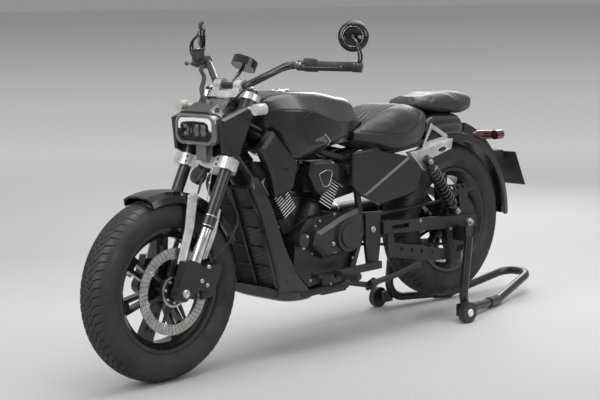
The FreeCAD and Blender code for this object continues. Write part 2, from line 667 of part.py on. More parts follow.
def make_front_axle():
    """The axle, its nuts and the spacers that hold the hub between the legs."""
    length = s.front_axle_reach * 2
    bar = cylinder("FrontAxleBar", s.axle_radius, length, y=-s.front_axle_reach, along="y")
    nuts = [cylinder(f"FrontNut{i}", s.axle_nut_radius, s.axle_nut_length,
                     y=low, along="y")
            for i, low in enumerate((s.leg_spread + s.bracket_thickness / 2,
                                     -(s.leg_spread + s.bracket_thickness / 2
                                       + s.axle_nut_length)))]
    inner = s.leg_spread - s.bracket_thickness / 2
    left = s.front_disc_side + s.disc_thickness + s.axle_fit
    right = s.front_hub_width / 2 + s.axle_fit
    spacers = [cylinder("LeftSpacer", s.axle_nut_radius, inner - left, y=left, along="y"),
               cylinder("RightSpacer", s.axle_nut_radius, inner - right, y=-inner, along="y")]
    node(fuse("FrontAxle", [bar, *nuts, *spacers]), "front_axle", s.wheelbase, 0, s.front_radius)


def bar_place():
    """The middle of the handlebar in the fork's frame."""
    across, up = s.bar_x - head_x, s.bar_height - head_z
    return (across * fork_cosine + up * fork_sine, 0, up * fork_cosine - across * fork_sine)


def make_handlebar():
    points = [vector(s.bar_x, 0, s.bar_height), vector(s.bar_x, s.bar_straight, s.bar_height),
              vector(s.bar_rise_x, s.bar_rise_side, s.bar_rise_height),
              vector(s.bar_end_x, s.bar_end_side, s.bar_end_height)]
    whole = mirrored_points(points)[:0:-1] + [points[0]] + points[1:]
    path = [p for i, p in enumerate(whole) if i != len(points) - 1]
    node(feature("Handlebar", tube(path, s.bar_radius, s.bar_bend)), "handlebar")
    direction = (points[3] - points[2]).normalize()
    grips = []
    for sign in (1, -1):
        along = Vector(direction.x, sign * direction.y, direction.z)
        end = Vector(points[3].x, sign * points[3].y, points[3].z)
        start = end - along * number(s.grip_length)
        sleeve = Part.makeCylinder(number(s.grip_radius), number(s.grip_length), start, along)
        hole = Part.makeCylinder(number(s.bar_radius), number(s.grip_length), start, along)
        weight = Part.makeCylinder(number(s.bar_weight_radius), number(s.bar_weight_length),
                                   end, along)
        grips.append(sleeve.cut(hole).fuse(weight))
    node(feature("Grips", Part.makeCompound(grips)), "grips")
    controls, mirrors = [], []
    for sign in (1, -1):
        along = Vector(direction.x, sign * direction.y, direction.z)
        end = Vector(points[3].x, sign * points[3].y, points[3].z)
        foot = end - along * number(s.grip_length + s.switch_length + s.shroud_gap)
        pack = Part.makeCylinder(number(s.switch_radius), number(s.switch_length), foot, along)
        perch_place = foot - along * number(s.perch_length + s.shroud_gap)
        perch = Part.makeCylinder(number(s.perch_radius), number(s.perch_length), perch_place,
                                  along)
        ahead = Vector(0, 0, 1).cross(along) * -sign
        middle = perch_place + along * number(s.perch_length / 2)
        root = middle + ahead * number(s.lever_reach)
        arm = Part.makeCylinder(number(s.lever_radius), number(s.lever_reach), middle, ahead)
        tip = root + along * number(s.lever_length)
        lever = Part.makeCylinder(number(s.lever_radius), number(s.lever_length), root, along)
        ball = Part.makeSphere(number(s.lever_ball), tip)
        knuckle = Part.makeSphere(number(s.lever_ball), root)
        parts = [perch, arm, lever, ball, knuckle]
        if sign < 0:
            base = middle + ahead * number(s.perch_radius) + Vector(0, 0, number(s.perch_radius / 2))
            parts.append(Part.makeCylinder(number(s.cup_radius), number(s.cup_height), base,
                                           Vector(0, 0, 1)))
        solid = parts[0].multiFuse(parts[1:])
        hole = Part.makeCylinder(number(s.bar_radius), number(s.grip_length) * 3,
                                 perch_place - along * number(s.grip_length), along)
        controls += [solid.cut(hole), pack.cut(hole)]
        mirrors.append(mirror_shape(sign, end, along))
    node(feature("BarControls", Part.makeCompound(controls)), "bar_controls")
    node(feature("Mirrors", Part.makeCompound(mirrors)), "mirrors")


def mirror_shape(sign, end, along):
    """A round mirror on a bent stem, clamped outside the bar's end weight."""
    clamp_start = end + along * number(s.bar_weight_length)
    ring = Part.makeCylinder(number(s.bar_weight_radius), number(s.mirror_clamp), clamp_start,
                             along)
    foot = clamp_start + along * number(s.mirror_clamp / 2)
    centre = Vector(number(s.mirror_x), sign * number(s.mirror_side), number(s.mirror_height))
    low = Vector(centre.x, centre.y, centre.z - number(s.mirror_radius / 2))
    knee = Vector(foot.x, foot.y, (foot.z + low.z) / 2)
    stem = tube([foot, knee, low], s.mirror_stem, s.mirror_radius / 2)
    face = Vector(-1, 0, 0)
    back = centre - face * number(s.mirror_thickness)
    head = Part.makeCylinder(number(s.mirror_radius), number(s.mirror_thickness), back, face)
    edge = [e for e in head.Edges if abs(e.BoundBox.XMax - back.x) < 1e-6
            and e.BoundBox.XLength < 1e-6]
    head = head.makeFillet(number(s.mirror_thickness * 0.6), edge)
    return ring.multiFuse([stem, head])


def make_front_fender():
    """A curved guard over the front tyre, its section turned about the axle, and its stays."""
    radius = number(s.front_radius + s.fender_gap)
    thick, half = number(s.fender_thickness), number(s.fender_width / 2)
    drop = number(s.fender_drop)
    section_shares = ((-1, -1), (-0.93, -0.35), (-0.6, 0.0), (0, 0.14), (0.6, 0.0),
                      (0.93, -0.35), (1, -1))
    outer = [Vector(0, half * a, radius + thick + drop * b) for a, b in section_shares]
    inner = [Vector(0, (half - thick) * a, radius + drop * b) for a, b in section_shares]
    section = Part.Face(Part.makePolygon(outer + inner[::-1] + [outer[0]]))
    section.rotate(Vector(), Vector(0, 1, 0), number(s.fender_ahead))
    guard = section.revolve(Vector(), Vector(0, -1, 0),
                            number(s.fender_ahead + s.fender_behind))
    node(feature("FrontFender", guard), "front_fender", s.wheelbase, 0, s.front_radius)
    stays = []
    for i, side in enumerate((1, -1)):
        inside = s.fender_width / 2 + s.shroud_gap
        for j, (top_x, top_z, low_x, low_z, wide) in enumerate((
                (s.stay_front_top, s.stay_top_height, s.stay_front_low, s.stay_low_height,
                 s.stay_width * 1.25),
                (s.stay_rear_top, s.stay_rear_height, s.stay_rear_low, s.stay_low_height,
                 s.stay_width * 0.8))):
            knee_x = (top_x + low_x) / 2 - s.stay_bow
            knee_z = (top_z + low_z) / 2
            bar = plate(f"Stay{i}{j}", [
                (top_x - wide / 2, top_z - wide * 0.1), (top_x - wide * 0.3, top_z + wide * 0.1),
                (top_x + wide / 2, top_z),
                (knee_x + wide * 0.45, knee_z), (low_x + wide * 0.4, low_z),
                (low_x - wide * 0.4, low_z), (knee_x - wide * 0.45, knee_z)],
                s.stay_thickness, s.stay_thickness * 0.3, side)
            put(bar, 0, side * (inside + s.stay_thickness / 2), 0)
            stays.append(bar)
    node(fuse("FenderStays", stays), "fender_stays", s.wheelbase, 0, s.front_radius)


def lamp_ring(x, wide_share, tall_share):
    """The lamp's outline, a rectangle with round corners, at a share of its size."""
    half, tall = s.lamp_width / 2 * wide_share, s.lamp_tall / 2 * tall_share
    r = s.lamp_round * min(wide_share, tall_share)
    corners = [(half, tall, r), (-half, tall, r), (-half, -tall, r), (half, -tall, r)]
    return ring(corners, lambda a, b: Vector(number(x), a, b))


def make_headlight():
    """The lamp with its pocket, arch and projectors, and the faceted cowl over it."""
    lamp = from_fork(s.lamp_ahead, 0, s.low_clamp_base + s.low_clamp_height + s.lamp_above)
    shell = feature("LampShell", Part.makeLoft([
        lamp_ring(-(s.lamp_depth * back), wide, tall) for back, wide, tall in (
            (1.0, 0.45, 0.5), (0.72, 0.78, 0.8), (0.4, 0.97, 0.97), (0.08, 1.0, 1.0),
            (0.0, 0.965, 0.94))], True, False))
    floor = -(s.lamp_depth * 0.16)
    room = s.lamp_depth * 0.2

    def slab(name, start, depth, wide, tall):
        face = Part.Face(lamp_ring(start, wide, tall))
        return feature(name, face.extrude(vector(depth, 0, 0)))

    pocket = slab("LampPocket", floor, room, 0.86, 0.78)
    raised = s.lamp_depth * 0.08
    arch = cut("LampArch", slab("LampArchOuter", floor, raised, 0.82, 0.72),
               [slab("LampArchInner", floor, raised, 0.66, 0.46),
                box("LampArchOpen", raised, s.lamp_width, s.lamp_tall / 2, floor, 0,
                    -(s.lamp_tall * 0.6))])
    eyes = [cylinder(f"LampEye{i}", s.lamp_tall * 0.13, raised, floor,
                     s.lamp_width * across, -(s.lamp_tall * 0.06), "x")
            for i, across in enumerate((-0.17, 0.0, 0.17))]
    post_height = s.lamp_above + s.lamp_tall * 0.45
    post = box("LampPost", s.lamp_depth * 0.33, s.lamp_width / 4, post_height,
               -(s.lamp_depth * 0.65), 0, -post_height)
    whole = fuse("Headlight", [cut("LampBody", fuse("LampSolid", [shell, post]), [pocket]),
                               arch, *eyes])
    node(whole, "headlight", lamp[0], 0, lamp[2])
    carve("headlight", "fork_clamps")
    top = s.lamp_tall / 2 + s.shroud_gap
    half = s.lamp_width / 2
    cowl_rings = []
    for back, low_wide, low, high_wide, high in (
            (0.06, 0.84, 0.0, 0.6, 0.16), (0.6, 0.92, -0.1, 0.56, 0.7), (1.5, 0.8, -0.2, 0.4, 1.0)):
        x = -(s.lamp_depth * back)
        low_z, high_z = top + s.cowl_height * low, top + s.cowl_height * high
        corners = [vector(x, half * a, z) for a, z in (
            (low_wide, low_z), (high_wide, high_z), (-high_wide, high_z), (-low_wide, low_z))]
        cowl_rings.append(Part.makePolygon(corners + corners[:1]))
    node(feature("Cowl", Part.makeLoft(cowl_rings, True, True)), "headlight_cowl", lamp[0], 0,
         lamp[2])


def make_front_fittings():
    """The fork shrouds, gauge, indicators, cables and hose that turn with the bars."""
    shrouds = []
    hole = s.leg_radius + s.shroud_gap / 2
    base = s.low_clamp_base + s.low_clamp_height + s.shroud_gap
    height = s.top_clamp_base - s.shroud_gap - base
    panel_shares = ((1.33, 0.46), (0.3, 0.86), (-0.16, 0.86), (-0.16, 0.02), (0.62, 0.02))
    inner = s.leg_spread + s.shroud_thickness
    depth = s.leg_radius + s.shroud_thickness * 0.3
    for i, sign in enumerate((1, -1)):
        side = sign * s.leg_spread
        sleeve = cylinder(f"ShroudSleeve{i}", s.leg_radius + s.shroud_thickness, height,
                          s.leg_offset, side, base)
        panel = plate(f"ShroudPanel{i}",
                      scaled(s.leg_offset, base, s.shroud_width, height, panel_shares), depth,
                      s.shroud_thickness, sign)
        put(panel, 0, sign * (inner + depth / 2), 0)
        bore = cylinder(f"ShroudBore{i}", hole, height, s.leg_offset, side, base)
        shrouds.append(cut(f"Shroud{i}", fuse(f"ShroudSolid{i}", [sleeve, panel]), [bore]))
    fork_node(fuse("ForkShrouds", shrouds), "fork_shrouds")
    gauge = cylinder("GaugeCase", s.gauge_radius, s.gauge_depth)
    put(gauge, 0, 0, 0, Rotation(Vector(0, 1, 0), -VALUES["gauge_tilt"]))
    foot = feature("GaugeFoot", tube([vector(0, 0, 0), vector(
        s.bar_x - s.gauge_x, 0, s.bar_height - s.gauge_height)], s.mirror_stem, s.bar_bend))
    node(fuse("Gauge", [gauge, foot]), "instrument", s.gauge_x, 0, s.gauge_height)
    carve("instrument", "handlebar")
    blinker = from_fork(s.blinker_ahead, 0, s.top_clamp_base - s.blinker_below)
    blinkers = []
    for i, side in enumerate((1, -1)):
        case = cylinder(f"Blinker{i}", s.blinker_radius, s.blinker_length,
                        -(s.blinker_length / 2), side * s.blinker_side, 0, "x")
        stem_length = s.blinker_side - s.leg_spread
        low = s.leg_spread if side > 0 else -s.blinker_side
        stem = cylinder(f"BlinkerStem{i}", s.blinker_stem, stem_length,
                        -(s.blinker_stem * 2), low, 0, "y")
        blinkers += [case, stem]
    node(fuse("FrontIndicators", blinkers), "front_indicators", blinker[0], 0, blinker[2])
    carve("front_indicators", "fork_shrouds", "fork_tubes")
    carve("headlight_cowl", "fork_clamps", "handlebar", "headlight", "fork_shrouds", "fork_tubes")
    make_cables()


def make_cables():
    """Cables from the hand controls to the cowl, and the hose down to the front brake."""
    top = s.top_clamp_base
    runs = []
    for out_share, up_share in ((0.0, 0.0), (0.07, 0.05), (-0.07, 0.03)):
        out = s.leg_spread * out_share
        up = s.leg_spread * up_share
        runs.append([vector(*spot) for spot in (
            (s.bar_rise_x - s.perch_length, -(s.bar_rise_side + s.perch_length * 1.5),
             s.bar_rise_height),
            (s.bar_rise_x + s.leg_spread * 0.5, -(s.leg_spread * 1.8 + out),
             s.bar_rise_height - s.perch_length + up),
            from_fork(s.leg_spread * 0.62, -(s.leg_spread * 1.2 + out), top + s.leg_spread * 0.62 + up),
            from_fork(s.leg_spread * 0.8, -(s.leg_spread * 0.95 + out), top + out),
            from_fork(s.leg_spread * 0.72, -(s.leg_spread * 0.5), top - s.leg_spread * 0.28 + out))])
    runs.append(mirrored_points(runs[0]))
    cables = [tube(run, s.cable_radius, s.bar_bend) for run in runs]
    node(feature("Cables", Part.makeCompound([cables[0].multiFuse(cables[1:3]), cables[3]])),
         "control_cables")
    carve("control_cables", "bar_controls", "fork_shrouds", "headlight_cowl")
    carve("control_cables", "handlebar")
    low = s.low_clamp_base
    hose = [vector(*spot) for spot in (
        from_fork(0, s.leg_spread * 0.6, low + s.low_clamp_height * 0.3),
        from_fork(-(s.leg_spread * 0.25), s.leg_spread * 0.7, low - s.leg_spread * 0.5),
        from_fork(-(s.leg_spread * 0.88), s.leg_spread * 1.04, low - s.leg_spread * 1.25),
        from_fork(-(s.leg_spread * 0.72), s.leg_spread * 1.08, low - s.leg_spread * 2.1),
        from_fork(-(s.leg_spread * 0.32), s.leg_spread * 1.05, s.bracket_top * 1.35))]
    node(feature("BrakeHose", tube(hose, s.cable_radius * 1.2, s.bar_bend)), "brake_hose")
    carve("brake_hose", "fork_clamps", "fork_legs")


def caliper(name, radius, side, mount, angle, x, z, label):
    """A block that straddles a disc at an angle about the axle, with an ear out to its mount."""
    abs_side = side if number(side) > 0 else -side
    body = box(name + "Block", s.caliper_tall, s.caliper_width, s.caliper_length,
               radius - s.disc_band - s.caliper_sink, side, -(s.caliper_length / 2))
    slot = box(name + "Slot", s.caliper_tall * 2, s.disc_thickness + s.disc_clear * 2,
               s.caliper_length * 2, radius - s.disc_band - s.caliper_tall * 2 + s.caliper_bite,
               side, -s.caliper_length)
    reach = mount - s.caliper_width / 2 - abs_side
    low = side + s.caliper_width / 2 if number(side) > 0 else -mount
    ear = box(name + "Ear", s.caliper_tall / 2, reach, s.caliper_length / 2,
              radius - s.caliper_tall / 2, 0, -(s.caliper_length / 4))
    put(ear, radius - s.caliper_tall / 2, low, -(s.caliper_length / 4))
    whole = fuse(name, [cut(name + "Jaws", body, [slot]), ear])
    return node(whole, label, x, 0, z, Rotation(Vector(0, 1, 0), -angle))


# Where the front covers' pins sit, as shares of the covers' box.
NOSE_PIN_SHARES = (0.8, 0.72)


def make_frame():
    """Head tube, twin top rails, twin down tubes with the cradle, seat rails and pivot plates."""
    head = cylinder("HeadTube", s.head_tube_radius,
                    s.top_clamp_base - s.low_clamp_base - s.low_clamp_height - s.head_gap * 2,
                    0, 0, s.low_clamp_base + s.low_clamp_height + s.head_gap)
    bore = cylinder("HeadBore", s.stem_radius + s.stem_gap, s.top_clamp_base, 0, 0, 0)
    head_tube = cut("HeadSolid", head, [bore])
    put(head_tube, head_x, 0, head_z, Rotation(Vector(0, 1, 0), -VALUES["rake"]))
    high = from_fork(0, 0, s.top_clamp_base - s.head_tube_radius * 2)
    low = from_fork(0, 0, s.low_clamp_base + s.low_clamp_height + s.head_tube_radius * 2)
    inset = s.head_tube_radius * 0.6
    rail = [vector(high[0] - inset, s.stem_radius + s.rail_radius * 0.6, high[2]),
            vector(s.rail_knee_x, s.rail_side, s.rail_knee_height),
            vector(s.seat_rail_x, s.seat_rail_side, s.seat_rail_height),
            vector(s.shock_top_x - s.rail_tail, s.seat_rail_side, s.rail_end_height)]
    down = [vector(low[0] - inset, s.stem_radius + s.rail_radius * 0.6, low[2]),
            vector(s.down_top_x, s.down_side, s.down_top),
            vector(s.down_x, s.down_side, s.down_height),
            vector(s.cradle_x, s.cradle_side, s.cradle_height),
            vector(s.cradle_rear_x, s.cradle_side, s.cradle_height),
            vector(s.pivot_x + s.plate_ahead, s.cradle_side, s.pivot_height),
            vector(s.seat_rail_x, s.seat_rail_side, s.seat_rail_height)]
    bars = two_tubes(rail, s.rail_radius, s.tube_bend) + two_tubes(down, s.rail_radius, s.tube_bend)
    for x, z, side in ((s.seat_rail_x, s.seat_rail_height, s.seat_rail_side),
                       (s.cradle_rear_x, s.cradle_height, s.cradle_side),
                       (s.shock_top_x, s.shock_cross_height, s.seat_rail_side)):
        bars.append(tube([vector(x, -side, z), vector(x, side, z)], s.rail_radius, s.tube_bend))
    cage = feature("Tubes", bars[0].multiFuse(bars[1:]))
    plates = []
    for i, side in enumerate((1, -1)):
        plate = pad(f"PivotPlate{i}", "XZ", [
            (s.pivot_x - s.plate_back, s.pivot_height + s.plate_rise),
            (s.pivot_x + s.plate_ahead, s.pivot_height + s.plate_rise),
            (s.pivot_x + s.plate_ahead, s.pivot_height - s.plate_back),
            (s.pivot_x + s.plate_ahead * 0.6, s.plate_low),
            (s.pivot_x - s.plate_back * 0.6, s.plate_low),
            (s.pivot_x - s.plate_back, s.pivot_height - s.plate_back)], s.pivot_plate)
        put(plate, 0, side * (s.cradle_side + s.rail_radius * 0.5 + s.pivot_plate / 2), 0)
        plates.append(plate)
    pin_x = s.nose_x + s.nose_run * NOSE_PIN_SHARES[0]
    pin_z = s.nose_z + s.nose_rise * NOSE_PIN_SHARES[1]
    plates.append(pad("HeadGusset", "XZ", [
        (high[0] - inset, high[2]), (low[0] - inset, low[2]),
        (pin_x - s.rail_radius, pin_z - s.rail_radius),
        (pin_x - s.rail_radius, pin_z + s.rail_radius)], s.stem_radius * 2))
    plates.append(stand_lug())
    left, right, gusset, lug = plates
    node(fuse("Frame", [fuse("PlatedTubes", [right, cage]), left, head_tube, gusset, lug]), "frame")


def hinge_axis():
    """The side stand's hinge: it lies across the frame and leans, so that the leg swings out."""
    return vector(0, cosine(s.hinge_lean), sine(s.hinge_lean))


def stand_lug():
    """The lug on the left cradle tube that the side stand's bolt turns in."""
    hinge = vector(s.side_hinge_x, s.side_hinge_y, s.side_hinge_z)
    axis = hinge_axis()
    plate = number(s.lug_thickness)
    low = hinge - axis * plate
    disc_body = Part.makeCylinder(number(s.side_pin_radius * 2.2), plate, low, axis)
    seat = vector(s.cradle_rear_x + s.rail_radius * 0.5, s.cradle_side,
                  s.cradle_height + s.rail_radius * 0.8)
    run = low + axis * (plate / 2) - seat
    arm = Part.makeCylinder(number(s.side_pin_radius * 1.2), run.Length, seat, run)
    bore = Part.makeCylinder(number(s.side_pin_radius + s.pin_fit), plate * 3,
                             low - axis * plate, axis)
    room = Part.makeCylinder(number(s.side_pin_radius * 4), plate * 3, hinge, axis)
    return feature("StandLug", disc_body.fuse(arm).cut(bore).cut(room))


def lean(item, angle):
    """Put a cylinder's piece, drawn about the crank's middle, at its lean."""
    return put(item, s.crank_x, 0, s.crank_height, Rotation(Vector(0, 1, 0), angle))


def make_engine():
    """Crankcase with its side covers, two finned cylinders in a V, and the covers on them."""
    half_length, half_tall = s.case_length / 2, s.case_height / 2
    case = pad("Case", "XZ", [
        (half_length, -(half_tall * 0.5)), (half_length * 0.95, half_tall * 0.35),
        (half_length * 0.55, half_tall * 0.95), (-(half_length * 0.35), half_tall),
        (-half_length, half_tall * 0.85), (-(half_length * 1.05), -(half_tall * 0.2)),
        (-(half_length * 0.7), -half_tall * 1.05), (half_length * 0.55, -half_tall * 1.2)],
        s.case_width)
    put(case, s.crank_x - s.case_back, 0, s.crank_height)
    covers = []
    cover_shares = ((0.92, 0.61), (0.4, 0.89), (0.08, 1.0), (0.0, 0.79), (0.04, 0.2),
                    (0.29, 0.08), (0.76, 0.0), (1.0, 0.35))
    face = s.case_width / 2
    for i, side in enumerate((1, -1)):
        cover = plate(f"CrankCover{i}",
                      scaled(s.crank_cover_x, s.crank_cover_z, s.crank_cover_run,
                             s.crank_cover_rise,
                             cover_shares), s.cover_out, s.cover_out * 0.3, side)
        put(cover, 0, side * (face + s.cover_out / 2), 0)
        reach = face + s.cover_out
        boss = cylinder(f"CoverBoss{i}", s.pulley_cover_radius, s.cover_boss, s.front_pulley_x,
                        reach if side > 0 else -(reach + s.cover_boss),
                        s.front_pulley_height, "y")
        cap = cylinder(f"CoverCap{i}", s.pulley_cover_radius * 0.72, s.cover_boss * 1.5,
                       s.front_pulley_x, reach if side > 0 else -(reach + s.cover_boss * 1.5),
                       s.front_pulley_height, "y")
        starter = cylinder(f"Starter{i}", s.starter_radius, s.cover_out * 0.8, s.starter_x,
                           face if side > 0 else -(face + s.cover_out * 0.8), s.starter_height, "y")
        covers += [cover, boss, cap, starter]
    sump = box("Sump", s.sump_length, s.case_width * 1.15, s.sump_tall, s.sump_x, 0, s.sump_low)
    node(fuse("Crankcase", [case, sump, *covers]), "crankcase")
    barrels, heads = [], []
    for tag, angle, fins in (("Front", s.front_lean, "front_fins"),
                             ("Rear", -s.rear_lean, "rear_fins")):
        fins_top = s.fin_start + s.fin_pitch * getattr(s, fins)
        barrel = cylinder(tag + "Barrel", s.barrel_radius, fins_top + s.head_height
                          - s.barrel_start, 0, 0, s.barrel_start)
        half_l, half_w, r = s.fin_length / 2, s.fin_width / 2, s.fin_round
        # The pattern's fins do not touch, so the barrel between them joins them.
        fin = rows(tag + "Fins", "XY", [
            (half_l, r - half_w), (half_l, half_w - r), (half_l - r, half_w), (r - half_l, half_w),
            (-half_l, half_w - r), (-half_l, r - half_w), (r - half_l, -half_w),
            (half_l - r, -half_w)], s.fin_thickness, "Z_Axis",
            s.fin_pitch * (VALUES[fins] - 1), VALUES[fins])
        put(fin, 0, 0, s.fin_start)
        head = box(tag + "Head", s.head_length, s.head_width, s.head_height,
                   -(s.head_length / 2), 0, fins_top)
        whole = fuse(tag + "Cylinder", [barrel, fin, head])
        barrels.append(lean(whole, number(angle)))
        for side in (1, -1):
            cover = plate(f"{tag}Cover{side + 1}", [
                (-(s.cover_length / 2), s.cover_tall * 0.8), (-(s.cover_length * 0.3), s.cover_tall),
                (s.cover_length * 0.3, s.cover_tall), (s.cover_length / 2, s.cover_tall * 0.8),
                (s.cover_length / 2, 0), (-(s.cover_length / 2), 0)],
                s.head_cover_depth, s.head_cover_depth * 0.4, side)
            depth = s.head_width / 2 + s.head_cover_depth / 2
            place = leaned(angle, 0, side * depth, fins_top + s.head_height - s.cover_tall)
            heads.append(put(cover, *place, Rotation(Vector(0, 1, 0), number(angle))))
    node(fuse("Cylinders", barrels), "cylinders")
    shield_shares = ((0.03, 0.67), (0.11, 0.97), (0.91, 1.0), (1.0, 0.64), (0.74, 0.16),
                     (0.51, 0.0), (0.26, 0.11))
    for i, side in enumerate((1, -1)):
        shield = plate(f"Shield{i}", scaled(s.shield_x, s.shield_z, s.shield_run, s.shield_rise,
                                            shield_shares), s.shield_depth,
                       s.shield_depth * 0.22, side)
        heads.append(put(shield, 0, side * (s.head_width / 2 + s.shield_depth / 2), 0))
    heads.append(box("Intake", s.shield_run * 0.62, s.head_width, s.shield_rise * 0.8,
                     s.shield_x + s.shield_run * 0.25, 0, s.shield_z + s.shield_rise * 0.1))
    node(fuse("HeadCovers", heads), "head_covers")


def leaned(angle, x, y, z):
    """A place beside a cylinder, drawn about the crank's middle, in the whole's frame."""
    c, d = cosine(angle), sine(angle)
    return (s.crank_x + x * c + z * d, y, s.crank_height + z * c - x * d)


def make_radiator():
    """A leaning radiator behind a hatched grille, with curved side shrouds and a chin."""
    core = pad("RadiatorCore", "XZ", [
        (s.radiator_low_x, s.radiator_low), (s.radiator_top_x, s.radiator_top),
        (s.radiator_top_x - s.radiator_depth, s.radiator_top),
        (s.radiator_low_x - s.radiator_depth, s.radiator_low)], s.radiator_width)
    run, rise = s.radiator_top_x - s.radiator_low_x, s.radiator_top - s.radiator_low
    tall = Size(math.hypot(number(run), number(rise)), f"sqrt({text(run)}^2 + {text(rise)}^2)")
    half, bar, deep = s.radiator_width / 2, s.grille_bar, s.grille_depth
    edge = bar * 2.5
    hatch_run = half - edge * 2.5
    hatch = rows("Hatch", "YZ", [
        (edge - half, edge), (edge - half + bar, edge), (edge - half + bar, tall - edge),
        (edge - half, tall - edge)], deep * 0.7, "Y_Axis", hatch_run, 12)
    slope, climb = half * 0.36, tall * 0.9
    slats = rows("Slats", "YZ", [
        (edge, edge), (half - edge, edge + slope), (half - edge, edge + slope + bar),
        (edge, edge + bar)], deep * 0.8, "Z_Axis", climb - slope, VALUES["grille_slats"])
    bars = [hatch, slats, box("Ridge", deep * 1.5, edge, tall, 0, 0, 0)]
    for i, share in enumerate((0.0, 0.2, 0.4, 0.6, 0.8, 1.0)):
        bars.append(box(f"Seam{i}", deep, s.radiator_width, bar, 0, 0, (tall - bar) * share))
    for i, side in enumerate((1, -1)):
        bars.append(box(f"GrilleSide{i}", deep * 1.2, edge, tall, 0, side * (half - edge / 2), 0))
    back = box("GrilleBack", bar, s.radiator_width, tall, 0, 0, 0)
    face = fuse("GrilleFace", [back, *bars])
    lean_angle = math.degrees(math.atan2(number(run), number(rise)))
    put(face, s.radiator_low_x, 0, s.radiator_low, Rotation(Vector(0, 1, 0), lean_angle))
    node(fuse("Radiator", [core, face]), "radiator")
    level_shares = ((0.0, 0.0, 0.54, 0.6), (0.13, 0.19, 0.585, 0.85), (0.34, 0.4, 0.67, 1.0),
                    (0.55, 0.54, 0.77, 1.0), (0.75, 0.66, 0.88, 1.0), (0.93, 0.8, 0.985, 0.9),
                    (1.0, 0.85, 0.95, 0.5))
    sides = []
    for i, side in enumerate((1, -1)):
        rings = []
        for level, rear, front, wide in level_shares:
            z = s.shroud_low + s.shroud_tall * level
            rear_x, front_x = s.chin_rear_x + s.shroud_run * rear, s.chin_rear_x + s.shroud_run * front
            inside = s.radiator_width / 2 + s.shroud_gap
            outside = inside + s.shroud_side * wide
            r = s.shroud_side * 0.4 * wide
            corners = [(front_x, inside, r * 0.2), (front_x, outside, r * 1.2),
                       (rear_x, outside, r), (rear_x, inside, r * 0.2)]
            rings.append(ring(corners, lambda a, b, z=z, side=side: Vector(a, side * b, number(z))))
        sides.append(feature(f"ShroudSide{i}", Part.makeLoft(rings, True, False)))
    chin = pod("Chin", s.chin_x, s.chin_length, s.chin_low, s.chin_tall,
               s.radiator_width + s.shroud_side * 1.8, (
        (0.0, 0.3, 0.1, 0.3), (0.12, 0.5, 0.0, 0.4), (0.4, 0.85, 0.03, 0.6), (0.75, 1.0, 0.15, 0.9),
        (1.0, 0.98, 0.45, 0.95)), 0.45)
    node(fuse("RadiatorShroud", [*sides, chin]), "radiator_shroud")


def tank_ring(share_row):
    """One section across the tank: crown, shoulder, belly and base corners on each side."""
    along, crown, top, shoulder, shoulder_up, belly, belly_up, base, low = share_row
    x = number(s.tank_rear + s.tank_length * along)
    half, tall = s.tank_width / 2, s.tank_tall
    round_up = tall * (top - low)
    left = [(half * crown, s.tank_base + tall * top, round_up * 0.2),
            (half * shoulder, s.tank_base + tall * shoulder_up, round_up * 0.08),
            (half * belly, s.tank_base + tall * belly_up, round_up * 0.08),
            (half * base, s.tank_base + tall * low, round_up * 0.1)]
    right = [(-a, b, r) for a, b, r in reversed(left)]
    return ring(left + right, lambda a, b: Vector(x, a, b))


